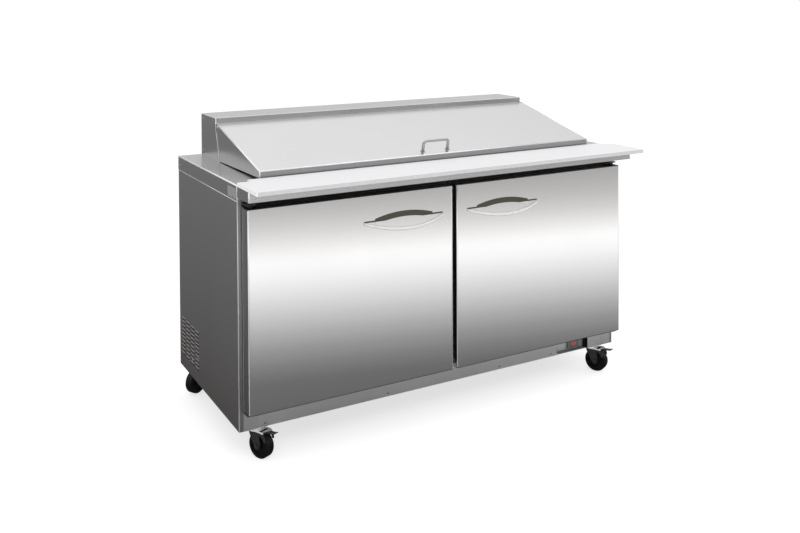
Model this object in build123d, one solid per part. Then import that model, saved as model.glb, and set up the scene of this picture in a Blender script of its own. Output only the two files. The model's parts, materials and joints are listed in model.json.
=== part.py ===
from build123d import *
import math
import os

# ---------------------------------------------------------------------------
# Two-door refrigerated sandwich prep table on casters, in millimetres.
# Built in cabinet coordinates: X to the right, Y to the rear with Y = 0 on the
# front plane of the face frame, Z up from a datum Z_FLOOR under the floor.
# Every piece is moved by -Y_MID and -Z_FLOOR when it is written, so the origin
# is on the floor, under the middle of the overall width and depth.
# Paired pieces are modelled on the left (-X) and mirrored.
# ---------------------------------------------------------------------------

Z_FLOOR = 22.0           # height of the floor in cabinet coordinates
Y_MID = 253.0            # middle of the overall depth, board edge to plug
RUN = 0.05               # radial running clearance of every pin

# carcass
HALF_W = 777.0           # half the overall width
BODY_D = 660.0           # face frame to the rear skin
Z_BASE = 127.0           # underside of the cabinet
Z_TOP = 914.0            # worktop
APRON = 52.0             # height of the worktop's turned-down apron
Z_APRON = Z_TOP - APRON
SHEET = 1.2              # stainless skin thickness
FLANGE = 14.0            # front and rear returns of the side panels
PANEL_X = HALF_W - FLANGE - 0.2      # half width of the sheets between the returns
SKIN_BEND = 3.0          # outer corner radius of the carcass
KICK_Z0, KICK_Z1 = Z_BASE + 1.2, 190.0
FRAME_Z0 = 190.6         # lower edge of the face frame

# left door; the right one is its mirror image
DOOR_X0, DOOR_X1 = -764.0, -8.0
DOOR_Z0, DOOR_Z1 = 196.0, 846.0
DOOR_YF, DOOR_YB = -58.0, -9.0
DOOR_R = 6.0
HINGE_X, HINGE_Y = -745.0, -30.0     # vertical hinge line
HINGE_PIN_R = 5.0

# left door opening in the face frame
OPEN_X0, OPEN_X1 = -728.0, -30.0
OPEN_Z0, OPEN_Z1 = 228.0, 828.0

# inner cavity and machine compartment
LINER_X = 727.5
CAV_YR, CAV_Z0 = 605.5, 178.5
STEP_Y, STEP_Z = 383.5, 378.5
MACH_Y, MACH_Z = 431.0, 331.0
MACH_FLOOR = 131.6       # underside of the machinery's feet

# cutting board and its rail
BOARD_T = 12.7
BOARD_YF, BOARD_YR = -180.0, 30.0
RECESS = 3.0
BOARD_Z = Z_TOP - RECESS
RAIL_D, RAIL_H = 106.0, 34.0
STRIP = 44.0             # full-height side strips beside the board recess
TOP_SHEET = 1.5          # sheet of the worktop and the rail

# food pan well
WELL_X, WELL_Y0, WELL_Y1 = 653.0, 62.0, 428.0
CURB, CURB_Z = 12.0, 924.0           # raised rim round the well
PAN_NX, PAN_NY = 8, 2
PAN_PX = 2 * WELL_X / PAN_NX
PAN_PY = (WELL_Y1 - WELL_Y0) / PAN_NY
PAN_H = 100.0

# hood and lid
HOOD_X = 688.0
HOOD_YR = 655.0
HOOD_Z0, HOOD_Z1 = Z_TOP + 0.2, 1070.0
HOOD_FOOT_Y = 441.5                  # front of the housing at the worktop
FASCIA_Y, FASCIA_Z = 483.0, 1031.0   # upright front face and its lower edge
LID_GAP = 1.7
LID_X = HOOD_X - LID_GAP
LID_YF, LID_Z0, LID_ZF = 40.0, 916.0, 944.0
LID_ZL = 922.0           # lower edge of the lid's front lip, ahead of the well's curb
PIV_Y, PIV_Z = 468.0, 1034.0         # lid hinge line
NOSE_R = 13.0            # rear nose of the lid, round about the hinge line
LID_PIN_R = 5.0

# casters
CAST_X, CAST_YF, CAST_YR = 705.0, 38.0, 622.0
REAR_OUT = 8.0           # the rear stems sit this much nearer the side skins
WHEEL_R, WHEEL_W, TRAIL = 43.0, 32.0, 22.0
WHEEL_Z = Z_FLOOR + WHEEL_R
SWIVEL_FRONT = 25.0      # rest angle of the front forks, from straight ahead towards +X
SWIVEL_REAR = -60.0      # rear forks, towards -X

OUT = "parts"
os.makedirs("parts", exist_ok=True)


# ------------------------------ helpers ------------------------------------
def box(x0, x1, y0, y1, z0, z1):
    centre = Pos((x0 + x1) / 2, (y0 + y1) / 2, (z0 + z1) / 2)
    return centre * Box(abs(x1 - x0), abs(y1 - y0), abs(z1 - z0))


def wide_box(half, y0, y1, z0, z1):
    """A box centred on X = 0."""
    return box(-half, half, y0, y1, z0, z1)


def cyl_z(x, y, z0, z1, r):
    return Pos(x, y, (z0 + z1) / 2) * Cylinder(r, z1 - z0)


def cyl_x(x0, x1, y, z, r):
    return Pos((x0 + x1) / 2, y, z) * Rot(0, 90, 0) * Cylinder(r, x1 - x0)


def cyl_y(x, y0, y1, z, r):
    return Pos(x, (y0 + y1) / 2, z) * Rot(90, 0, 0) * Cylinder(r, y1 - y0)


def prism_x(points, x0, x1):
    """A (Y, Z) outline carried from x0 to x1."""
    face = Plane.YZ * make_face(Polyline(*points, close=True))
    return Pos(x0, 0, 0) * extrude(face, x1 - x0, dir=(1, 0, 0))


def mirrored(shape):
    return mirror(shape, about=Plane.YZ)


def round_edges(shape, toward, radius, along=None):
    """Fillets the edges furthest toward a direction such as "-y", or only those along an axis."""
    edges = shape.edges()
    if along is not None:
        edges = edges.filter_by(along)
    axis = {"x": Axis.X, "y": Axis.Y, "z": Axis.Z}[toward[1]]
    return fillet(edges.group_by(axis)[0 if toward[0] == "-" else -1], radius)


def round_front(shape, radius):
    """Fillets the upright edges at the front."""
    return round_edges(shape, "-y", radius, along=Axis.Z)


def tube(points, r, bend):
    """A round bar along a polyline with rounded corners."""
    path = FilletPolyline(*points, radius=bend)
    section = Plane(origin=path @ 0, z_dir=path % 0) * Circle(r)
    return sweep(section, path=path)


def solids_of(item):
    """Every solid of a shape, or of a list of shapes."""
    if isinstance(item, (list, tuple)):
        return [solid for member in item for solid in solids_of(member)]
    return list(item.solids())


def write(name, item):
    """Writes a shape, or a list of separate shapes, as one file."""
    solids = [Pos(0, -Y_MID, -Z_FLOOR) * solid for solid in solids_of(item)]
    part = solids[0] if len(solids) == 1 else Compound(children=solids)
    export_step(part, os.path.join(OUT, name + ".step"))


def write_pair(name, *pieces):
    """Writes left-hand pieces and their mirror images."""
    write("left_" + name, list(pieces))
    write("right_" + name, [mirrored(piece) for piece in pieces])


# ------------------------------ carcass ------------------------------------
def side_panel():
    """Left skin: a flat sheet with front and rear returns and a bank of louvre slots."""
    x0 = -HALF_W
    outer = box(x0, x0 + FLANGE, 0, BODY_D, Z_BASE, Z_APRON)
    outer = round_edges(outer, "-x", SKIN_BEND, along=Axis.Z)
    inner = box(x0 + SHEET, x0 + FLANGE + 1, SHEET, BODY_D - SHEET, Z_BASE - 1, Z_APRON + 1)
    inner = round_edges(inner, "-x", SKIN_BEND - SHEET, along=Axis.Z)
    slots = []
    for column in range(4):
        for row in range(10):
            slots.append(Pos(x0, 610.0 - 56.0 * column, 306.0 - 14.4 * row) * Box(8, 40, 4.6))
    return (outer - inner) - slots


def back_panel():
    return wide_box(PANEL_X, BODY_D - SHEET, BODY_D, MACH_Z + 1, Z_APRON - 0.5)


CORD_X, CORD_Z, GLAND_R = 690, 180, 6.3      # supply cord's exit through the grille


def rear_grille():
    """Lower rear sheet: six banks of eight slots, and the cord hole."""
    plate = wide_box(PANEL_X, BODY_D - SHEET, BODY_D, Z_BASE + 2, MACH_Z + 0.5)
    slots = []
    for bank in range(6):
        for row in range(8):
            slots.append(Pos(-587.5 + 235.0 * bank, BODY_D, 168.0 + 18.0 * row) * Box(170, 8, 7))
    plate -= slots
    plate -= cyl_y(CORD_X, BODY_D - 5, BODY_D + 5, CORD_Z, GLAND_R)
    return plate


def floor_pan():
    """Floor sheet with a front and a rear strip over the caster plates."""
    half = HALF_W - SHEET - 0.3
    sheet_z = Z_BASE + 1.8
    pan = wide_box(half, 4.0, BODY_D - 4.0, Z_BASE, sheet_z)
    for y0 in (6.0, 590.0):
        pan += wide_box(half - 2, y0, y0 + 64, sheet_z, sheet_z + 0.8)
    return pan


def face_frame():
    """Front sheet with a 30 deep sleeve lining each door opening."""
    t = SHEET
    openings = ((OPEN_X0, OPEN_X1), (-OPEN_X1, -OPEN_X0))
    frame = wide_box(PANEL_X, 0, t, FRAME_Z0, Z_APRON - 0.5)
    for x0, x1 in openings:
        frame += box(x0 - t, x1 + t, 0, 30, OPEN_Z0 - t, OPEN_Z1 + t)
    for x0, x1 in openings:
        frame -= box(x0, x1, -1, 31, OPEN_Z0, OPEN_Z1)
    return frame


def breaker_strip():
    """Black thermal-break strip on the frame's top rail, centre post and outer stiles."""
    y0, z0, rail_z = -0.9, 191.5, OPEN_Z1 + 2
    half = PANEL_X - 0.4
    strip = wide_box(half, y0, 0, rail_z, Z_APRON - 1.0) + wide_box(29, y0, 0, z0, rail_z)
    for side in (-1, 1):   # narrow stiles outboard of the gaskets
        strip += box(side * half, side * 753.2, y0, 0, z0, rail_z)
    return strip


CONTROL_X0, CONTROL_X1, CONTROL_D = 500.0, 649.6, 17.0   # recessed control tray
TRAY_BACK = CONTROL_D - SHEET                            # front face of the tray's back


def kick_panel():
    """Long folded strip under the doors, and the short cap to the right of the controls."""
    t, z0, z1 = SHEET, KICK_Z0, KICK_Z1
    x0, x1 = -712.8, CONTROL_X0 - 0.4
    strip = box(x0, x1, 0, t, z0, z1)
    strip += box(x0, x1, 0, 1.8, z0, z0 + t)
    strip += box(x0, x1, 0, 14, z1 - t, z1)
    x0, x1 = CONTROL_X1 + 0.4, 716.0
    cap = box(x0, x1, -3, t, z0, z1) - box(x0 + t, x1 - t, t - 3, t + 1, z0 + t, z1 - t)
    return [strip, cap]


def control_panel():
    """Recessed tray that carries the thermostat."""
    t, depth = SHEET, CONTROL_D
    x0, x1, z0, z1 = CONTROL_X0, CONTROL_X1, Z_BASE + 3.0, KICK_Z1
    tray = box(x0, x1, 0, depth, z0, z1)
    tray -= box(x0 + t, x1 - t, -1, depth - t, z0 + t, z1 - t)
    tray -= box(569.0, 627.0, 0, depth + 1, 139.4, 168.6)
    tray += box(641.0, 642.2, 2.0, depth - t, z0 + t, z1 - t)   # divider beside the cable gap
    return tray


KEY_X = 620.5
KEYS = {"key_up": 163.5, "key_down": 154.0, "key_set": 144.5}   # name: centre height


def thermostat():
    """Bezel in front of the tray, case behind it, a window recess and three key wells."""
    back = TRAY_BACK
    bezel = box(563.0, 633.0, back - 6, back - 0.1, 137.0, 171.0)
    bezel = round_edges(bezel, "-y", 1.4)
    body = bezel + box(569.5, 626.5, back - 0.1, back + 46, 140.0, 168.0)
    body -= box(571.0, 611.0, back - 7, back - 4.8, 142.0, 166.0)
    for z in KEYS.values():
        body -= box(KEY_X - 4.2, KEY_X + 4.2, back - 7, back - 1.5, z - 3.2, z + 3.2)
    return body


def key(z):
    cap = box(KEY_X - 4.0, KEY_X + 4.0, TRAY_BACK - 7.2, TRAY_BACK - 3.0, z - 3.0, z + 3.0)
    return round_edges(cap, "-y", 0.8)


def insulation():
    """Foam slabs: rear wall, floor, step over the machine compartment, and side walls."""
    inner_x, outer_x = LINER_X + 0.5, HALF_W - 2.0
    step_y, wall_y, rear_y = STEP_Y + 0.5, CAV_YR + 0.5, BODY_D - 4.0
    front_y, z0, z1 = 66.0, Z_BASE + 3.0, 858.0
    slabs = [
        wide_box(inner_x, wall_y, rear_y, MACH_Z, z1),
        wide_box(inner_x, step_y, wall_y, MACH_Z, STEP_Z - 0.5),
        wide_box(inner_x, step_y, MACH_Y, z0, MACH_Z),
        wide_box(inner_x, front_y, step_y, z0, CAV_Z0 - 0.5),
    ]
    for side in (-1, 1):
        slabs.append(box(side * outer_x, side * inner_x, front_y, rear_y, MACH_Z, z1))
        slabs.append(box(side * outer_x, side * inner_x, front_y, MACH_Y, z0, MACH_Z))
        slabs.append(box(side * outer_x, side * 730.5, 3.0, front_y, 192.0, z1))
    return slabs


def inner_liner():
    """Cavity lining 1 thick, open at the front and top, stepped over the machinery."""
    t, y0, z1 = 1, 31.5, 857.0
    outer = [(y0, CAV_Z0), (STEP_Y, CAV_Z0), (STEP_Y, STEP_Z),
             (CAV_YR, STEP_Z), (CAV_YR, z1), (y0, z1)]
    y0, z1 = y0 - 1.5, z1 + 2
    inner = [(y0, CAV_Z0 + t), (STEP_Y - t, CAV_Z0 + t), (STEP_Y - t, STEP_Z + t),
             (CAV_YR - t, STEP_Z + t), (CAV_YR - t, z1), (y0, z1)]
    return prism_x(outer, -LINER_X, LINER_X) - prism_x(inner, -LINER_X + t, LINER_X - t)


# ------------------------ worktop, pans and board --------------------------
def worktop():
    """Folded top with the board recess along its front and the curbed pan well."""
    t = TOP_SHEET
    recess_x, recess_y = HALF_W - STRIP, BOARD_YR + 2
    outer = wide_box(HALF_W, 0, BODY_D, Z_APRON, Z_TOP)
    outer = fillet(outer.edges().filter_by(Axis.Z), SKIN_BEND)
    outer = round_edges(outer, "+z", 1.4)
    outer -= wide_box(recess_x, -1, recess_y, BOARD_Z, Z_TOP + 1)
    inner = wide_box(HALF_W - t, t, BODY_D - t, Z_APRON - 1, Z_TOP - t)
    inner -= wide_box(recess_x + t, 0, recess_y + t, BOARD_Z - t, Z_TOP)
    top = outer - inner
    top += wide_box(WELL_X + t, WELL_Y0 - t, WELL_Y1 + t, Z_TOP - 26, Z_TOP - t)
    top += wide_box(WELL_X + CURB, WELL_Y0 - CURB, WELL_Y1 + CURB / 2, Z_TOP - 0.5, CURB_Z)
    top -= wide_box(WELL_X, WELL_Y0, WELL_Y1, Z_TOP - 30, Z_TOP + 20)
    return top


def pan_divider_bars():
    """One long bar between the two rows, and seven cross bars, all under the pan rims."""
    mid_y = (WELL_Y0 + WELL_Y1) / 2
    gap, z1 = 0.2, Z_TOP - 2.6
    bars = wide_box(WELL_X - gap, mid_y - 4, mid_y + 4, Z_TOP - 14, z1)
    for i in range(1, PAN_NX):
        x = -WELL_X + PAN_PX * i
        bars += box(x - 2.6, x + 2.6, WELL_Y0 + gap, WELL_Y1 - gap, Z_TOP - 12, z1)
    return bars


def rounded_rect(half_x, half_y, radius, z=0.0):
    return Plane.XY.offset(z) * RectangleRounded(2 * half_x, 2 * half_y, radius)


def one_pan():
    """Tapered sixth-size pan with a flat rim; its origin is the rim's underside centre."""
    t = 0.9
    top_x, top_y = PAN_PX / 2 - 7.5, PAN_PY / 2 - 7.5
    foot_x, foot_y = top_x - 12, top_y - 12
    top = rounded_rect(top_x, top_y, 14)
    foot = rounded_rect(foot_x, foot_y, 14, -PAN_H)
    body = loft([foot, top])
    inner_top = rounded_rect(top_x - t + 0.15, top_y - t + 0.15, 13.2, 1.2)
    inner_foot = rounded_rect(foot_x - t, foot_y - t, 13.2, -PAN_H + t)
    hollow = loft([inner_foot, inner_top])
    rim = extrude(rounded_rect(PAN_PX / 2 - 0.6, PAN_PY / 2 - 0.6, 12), 1.1)
    return (body + rim) - hollow


def food_pans():
    pan = one_pan()
    pans = []
    for row in range(PAN_NY):
        for column in range(PAN_NX):
            x = -WELL_X + PAN_PX * (column + 0.5)
            y = WELL_Y0 + PAN_PY * (row + 0.5)
            pans.append(Pos(x, y, Z_TOP - 2.4) * pan)
    return pans


def board_rail():
    """Folded channel on the front apron that carries the cutting board."""
    t, z0 = TOP_SHEET, BOARD_Z - RAIL_H
    outer = round_front(wide_box(HALF_W, -RAIL_D, 0, z0, BOARD_Z), 2.5)
    return outer - wide_box(HALF_W - t, -RAIL_D + t, -t, z0 - 1, BOARD_Z - t)


def cutting_board():
    """Full width ahead of the worktop, narrower where it lies in the recess."""
    neck_y, z1 = -0.8, BOARD_Z + BOARD_T
    front = wide_box(HALF_W, BOARD_YF, neck_y, BOARD_Z, z1)
    rear = wide_box(HALF_W - STRIP - 1, neck_y, BOARD_YR, BOARD_Z, z1)
    board = round_front(front + rear, 6.0)
    return round_edges(board, "+z", 1.6)


# ------------------------------ hood ---------------------------------------
def hood_housing():
    """Sheet hood open underneath, with an ear on each end for the lid's pin."""
    t, ear_r = SHEET, 14.0
    outer = prism_x(
        [(HOOD_FOOT_Y, HOOD_Z0), (FASCIA_Y, FASCIA_Z), (FASCIA_Y, HOOD_Z1),
         (HOOD_YR, HOOD_Z1), (HOOD_YR, HOOD_Z0)],
        -HOOD_X, HOOD_X,
    )
    outer = round_edges(outer, "+z", 2.4, along=Axis.X)
    ear = cyl_x(-HOOD_X, HOOD_X, PIV_Y, PIV_Z, ear_r)
    ear += wide_box(HOOD_X, PIV_Y, FASCIA_Y + 4, PIV_Z - ear_r, PIV_Z + ear_r)
    # the ears are kept only within the end sheets
    ends = box(-HOOD_X, -HOOD_X + t, 400, 700, 900, 1080)
    ends += box(HOOD_X - t, HOOD_X, 400, 700, 900, 1080)
    inner = prism_x(
        [(HOOD_FOOT_Y + t * 1.1, HOOD_Z0 - 1), (FASCIA_Y + t, FASCIA_Z),
         (FASCIA_Y + t, HOOD_Z1 - t), (HOOD_YR - t, HOOD_Z1 - t), (HOOD_YR - t, HOOD_Z0 - 1)],
        -HOOD_X + t, HOOD_X - t,
    )
    shell = (outer - inner) + (ear & ends)
    shell -= cyl_x(-HOOD_X - 1, HOOD_X + 1, PIV_Y, PIV_Z, LID_PIN_R)
    return shell


def lid_hinge_pins():
    pin = cyl_x(-HOOD_X - 2.2, -HOOD_X, PIV_Y, PIV_Z, 7.5)
    pin += cyl_x(-HOOD_X, -HOOD_X + 16, PIV_Y, PIV_Z, LID_PIN_R)
    pin = round_edges(pin, "-x", 1.2)
    return [pin, mirrored(pin)]


# slope of the lid's top skin, tangent to the rear nose
SLOPE = math.atan2(PIV_Z - LID_ZF, PIV_Y - LID_YF) + math.asin(
    NOSE_R / math.hypot(PIV_Z - LID_ZF, PIV_Y - LID_YF)
)
LID_INNER_X = LID_X - SHEET - 0.4    # half width of the foam and liner


def lid_point(along, below):
    """(Y, Z) at a distance up the slope from the lid's front, and below its top skin."""
    return (LID_YF + math.cos(SLOPE) * along + math.sin(SLOPE) * below,
            LID_ZF + math.sin(SLOPE) * along - math.cos(SLOPE) * below)


def lid_outline(inset, rear_z, lip_z):
    """Side view of the lid, shrunk by inset; the rear nose is round about the hinge line."""
    r = NOSE_R - inset
    front_y = LID_YF + inset
    drop = inset / math.cos(SLOPE) - inset * math.tan(SLOPE)
    points = [(front_y, lip_z), (front_y, LID_ZF - drop)]
    start, end, steps = math.pi / 2 + SLOPE, -0.12, 9
    for i in range(steps + 1):
        angle = start + (end - start) * i / steps
        points.append((PIV_Y + r * math.cos(angle), PIV_Z + r * math.sin(angle)))
    # rear edge runs down beside the housing
    points.append((HOOD_FOOT_Y - LID_GAP - inset, rear_z))
    return points


def lid_shell():
    t = SHEET
    outer = prism_x(lid_outline(0, LID_Z0, LID_ZL), -LID_X, LID_X)
    inner = prism_x(lid_outline(t, LID_Z0 - 12, LID_ZL - 2), -LID_X + t, LID_X - t)
    shell = outer - inner
    # the rear is closed only by the nose: its sheet stops 26 below the hinge line
    shell -= wide_box(LID_X - t, 425.0, 480.5, LID_Z0 - 2, PIV_Z - 26)
    for x in (-LID_X, LID_X):
        shell -= cyl_x(x - 3, x + 3, PIV_Y, PIV_Z, LID_PIN_R + RUN)
    return shell


def slope_slab(near, far, top, bottom):
    """A slab parallel to the lid's top skin, between two distances up the slope."""
    corners = [(near, top), (far, top), (far, bottom), (near, bottom)]
    return prism_x([lid_point(*corner) for corner in corners], -LID_INNER_X, LID_INNER_X)


def lid_inside():
    """Space behind the lid's front sheet and above the well's curb."""
    return wide_box(700, LID_YF + SHEET + 0.3, 470, CURB_Z + 1.4, 1060)


def lid_foam():
    return slope_slab(8.0, 408.0, SHEET + 0.2, 20.0) & lid_inside()


def lid_liner():
    """Sheet under the foam, turned up at its rear edge."""
    sheet = slope_slab(12.0, 412.0, 20.2, 21.2) & lid_inside()
    return sheet + slope_slab(410.0, 412.0, 2.0, 20.6)


def lid_handle():
    """Bent round bar on two pads, standing off the sloping skin near its front edge."""
    x, foot = 52, 34.0
    foot_y, foot_z = lid_point(foot, 0)
    top_y, top_z = lid_point(foot, -38.0)
    path = [(-x, foot_y, foot_z), (-x, top_y, top_z), (x, top_y, top_z), (x, foot_y, foot_z)]
    bar = tube(path, 5.4, 13)
    normal = (0, -math.sin(SLOPE), math.cos(SLOPE))
    pads = []
    for pad_x in (-x, x):
        seat = Plane(origin=(pad_x, foot_y, foot_z), z_dir=normal)
        pads.append(seat * (Pos(0, 0, 1.0) * Cylinder(9.5, 2.0)))
    return bar + pads


# ------------------------------ doors --------------------------------------
def door_skin():
    t = 1.0
    outer = box(DOOR_X0, DOOR_X1, DOOR_YF, DOOR_YB - 1.8, DOOR_Z0 + 2, DOOR_Z1 - 2)
    outer = round_front(outer, DOOR_R)
    inner = box(DOOR_X0 + t, DOOR_X1 - t, DOOR_YF + t, DOOR_YB + 5, DOOR_Z0, DOOR_Z1)
    inner = round_front(inner, DOOR_R - t)
    return outer - inner


def door_cap(z0, z1):
    return round_front(box(DOOR_X0, DOOR_X1, DOOR_YF, DOOR_YB, z0, z1), DOOR_R)


def door_liner():
    """Moulded inner face with a shallow plug, and the two end caps of the door."""
    t, plate_y, cap_t = 1.8, DOOR_YB - 1.7, 1.9
    bottom_cap = door_cap(DOOR_Z0, DOOR_Z0 + cap_t)
    top_cap = door_cap(DOOR_Z1 - cap_t, DOOR_Z1)
    plate = box(DOOR_X0, DOOR_X1, plate_y, DOOR_YB, DOOR_Z0, DOOR_Z1)
    inset, plug_y = 14, 7.0
    x0, x1, z0, z1 = OPEN_X0 + inset, OPEN_X1 - inset, OPEN_Z0 + inset, OPEN_Z1 - inset
    plug = round_edges(box(x0, x1, plate_y, plug_y, z0, z1), "+y", 4.0)
    hollow = box(x0 + t, x1 - t, DOOR_YB - 3, plug_y - t, z0 + t, z1 - t)
    body = bottom_cap + top_cap + plate + plug - hollow
    for z0, z1 in ((DOOR_Z0 - 1, DOOR_Z0 + 3), (DOOR_Z1 - 3, DOOR_Z1 + 1)):
        body -= cyl_z(HINGE_X, HINGE_Y, z0, z1, HINGE_PIN_R + RUN)
    return body


def door_foam():
    core = box(DOOR_X0 + 1.3, DOOR_X1 - 1.3, DOOR_YF + 1.3, DOOR_YB - 2.0,
               DOOR_Z0 + 2.2, DOOR_Z1 - 2.2)
    core = round_front(core, DOOR_R - 1)
    for z0, z1 in ((DOOR_Z0 - 1, DOOR_Z0 + 26), (DOOR_Z1 - 26, DOOR_Z1 + 1)):
        core -= cyl_z(HINGE_X, HINGE_Y, z0, z1, HINGE_PIN_R + 0.3)
    return core


def door_gasket():
    """Magnetic bellows seal: a rectangular ring with a groove round its outside."""
    x0, x1, z0, z1 = -752.0, -11.0, 206.0, 838.0
    y0, y1 = DOOR_YB + 0.05, -1.3
    width, groove_d = 16.0, 2
    ring = box(x0, x1, y0, y1, z0, z1)
    ring -= box(x0 + width, x1 - width, y0 - 1, y1 + 1, z0 + width, z1 - width)
    mid = (y0 + y1) / 2
    groove = box(x0 - 1, x1 + 1, mid - 0.8, mid + 0.8, z0 - 1, z1 + 1)
    groove -= box(x0 + groove_d, x1 - groove_d, mid - 2, mid + 2, z0 + groove_d, z1 - groove_d)
    seal = ring - groove
    # eased where the swinging corner passes the thermal break
    corner = Polyline(
        (x0 - 1, y1 + 1), (x0 + 3.6, y1 + 1), (x0 + 2.6, y1), (x0, y1 - 2.6), (x0 - 1, y1 - 3.6),
        close=True,
    )
    heel = Plane(origin=(0, 0, z0 - 1)) * make_face(corner)
    return seal - extrude(heel, z1 - z0 + 2, dir=(0, 0, 1))


GRIP_X0, GRIP_X1, GRIP_Z = -360.0, -50.0, 753.0      # left door's handle
GRIP_MID, GRIP_HALF = (GRIP_X0 + GRIP_X1) / 2, (GRIP_X1 - GRIP_X0) / 2


def handle_bow():
    """Bright bow that swings down and forward, lofted through elliptical sections."""
    steps = 12
    sections = []
    for k in range(steps + 1):
        t = -1 + 2 * k / steps           # -1 and 1 at the feet
        bulge = 1 - t * t
        x = GRIP_MID + GRIP_HALF * t * 0.999
        y = DOOR_YF - 4.0 - 34.0 * bulge ** 0.85
        z = GRIP_Z - 23.0 * bulge
        plane = Plane(origin=(x, y, z), x_dir=(0, 1, 0), z_dir=(1, 0, 0))
        tilt = Rot(0, 0, math.degrees(0.42 * bulge))
        sections.append(plane * tilt * Ellipse(5.0 + 1.2 * bulge, 4.6 + 2.6 * bulge))
    bow = loft(sections)
    # trimmed flush with the door's skin
    return bow & box(GRIP_X0 - 5, GRIP_X1 + 5, DOOR_YF - 80, DOOR_YF, GRIP_Z - 60, GRIP_Z + 60)


def handle_arch():
    """Dark arch on the door's skin: a wide band with a thin tail along each foot."""
    reach, steps, half_band = 0.72, 16, 9.4
    upper, lower = [], []
    for k in range(steps + 1):
        t = -reach + 2 * reach * k / steps
        z = GRIP_Z + 2.5 + 16.0 * (1 - (t / reach) ** 2)
        x = GRIP_MID + GRIP_HALF * t
        upper.append((x, z + half_band))
        lower.append((x, z - half_band))
    edges = [Spline(*upper), Line(upper[-1], lower[-1]), Spline(*lower), Line(lower[0], upper[0])]
    arch = extrude(Plane.XZ * make_face(edges), 3.4)
    arch = Pos(0, DOOR_YF - arch.bounding_box().max.Y, 0) * arch
    for side in (-1, 1):
        x0 = GRIP_MID + side * GRIP_HALF * 0.985
        x1 = GRIP_MID + side * GRIP_HALF * 0.70
        arch += box(x0, x1, DOOR_YF - 3.0, DOOR_YF, GRIP_Z + 2.0, GRIP_Z + 7.0)
    return arch


def hinge_bracket(boxes, boss_z, pin_z):
    """Two joined (x0, x1, y0, y1, z0, z1) plates with a boss and a pin on the hinge line."""
    upright, shelf = boxes
    bracket = round_front(box(*upright) + box(*shelf), 8.0)
    bracket += cyl_z(HINGE_X, HINGE_Y, *boss_z, 9.0)
    bracket += cyl_z(HINGE_X, HINGE_Y, *pin_z, HINGE_PIN_R)
    return bracket


def door_hinge_brackets():
    """A lower and an upper bracket per door; the right lower plate is a little narrower."""
    x0, x1, front_y = -762.8, -726.0, -44
    low_z, high_z = FRAME_Z0, 855.0      # faces of the brackets towards the door
    brackets = []
    for plate_x1, on_right in ((-713.2, False), (-716.4, True)):
        lower = hinge_bracket(
            ((x0, plate_x1, -3, 0, KICK_Z0, 190.4), (x0, x1, front_y, 0, low_z - 3.2, low_z)),
            (low_z, DOOR_Z0 - 0.4), (low_z, DOOR_Z0 + 22),
        )
        upper = hinge_bracket(
            ((x0, x1, front_y, -1.0, high_z, high_z + 3.2), (x0, x1, -3.4, -1.0, 851.0, 861.0)),
            (DOOR_Z1 + 0.4, high_z), (DOOR_Z1 - 22, high_z),
        )
        for bracket in (lower, upper):
            brackets.append(mirrored(bracket) if on_right else bracket)
    return brackets


# ------------------------------ shelves ------------------------------------
SHELF_Z = 480.0
CLIP_Z = SHELF_Z - 3.6   # top of the clips under the shelves


def wire_shelf():
    """Left wire shelf: a rim bar all round, two cross bars, and close-set wires."""
    x0, x1, y0, y1, z = -717.0, -14.0, 48.0, 590.0, SHELF_Z
    bar = 6
    shelf = box(x0, x1, y0, y0 + bar, z - 3, z + 3) + box(x0, x1, y1 - bar, y1, z - 3, z + 3)
    shelf += box(x0, x0 + bar, y0, y1, z - 3, z + 3) + box(x1 - bar, x1, y0, y1, z - 3, z + 3)
    for k in (1, 2):
        y = y0 + (y1 - y0) * k / 3
        shelf += box(x0, x1, y - 2.5, y + 2.5, z - 3.4, z + 1.6)
    gaps = 26
    for i in range(1, gaps):
        x = x0 + 3 + (x1 - x0 - bar) * i / gaps
        shelf += box(x - 1.5, x + 1.5, y0 + 1, y1 - 1, z + 0.6, z + 3.6)
    return shelf


def wire_shelves():
    shelf = wire_shelf()
    return [shelf, mirrored(shelf)]


def shelf_supports():
    """Slotted wall strips with a clip in each, and plain strips and clips on the centre line."""
    wall = -LINER_X + 1.0
    face = wall + 5.0
    clip_z0 = CLIP_Z - 2.4
    wall_pieces = []
    for y in (86.0, 556.0):
        strip = box(wall, face, y - 9, y + 9, 392.0, 790.0)
        strip -= [Pos(face, y, 404.0 + 16 * k) * Box(6, 8, 5) for k in range(24)]
        clip = box(face, wall + 18, y - 6, y + 6, clip_z0, CLIP_Z)
        clip += box(face, wall + 7, y - 6, y + 6, CLIP_Z - 14, CLIP_Z)
        wall_pieces += [strip, clip]
    rear_y = CAV_YR - 6.0
    centre_pieces = [
        # rear wall: stops below the evaporator cover
        wide_box(16, rear_y, CAV_YR - 1.0, 392.0, 588.0),
        wide_box(26, 580.0, rear_y, clip_z0, CLIP_Z),
        # centre post
        wide_box(16, 31.0, 36.0, 250.0, 800.0),
        wide_box(26, 36.0, 58.0, clip_z0, CLIP_Z),
    ]
    return wall_pieces + [mirrored(piece) for piece in wall_pieces] + centre_pieces


# ------------------------- refrigeration machinery -------------------------
EVAP_X, EVAP_Z = 250.0, 700.0        # evaporator fan's axis, along Y
COND_Y, COND_Z = 540.0, 232.0        # condenser fan's axis, along X
SHAFT_R = 3.0
COVER_YF = 488.0                     # front face of the evaporator cover


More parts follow.
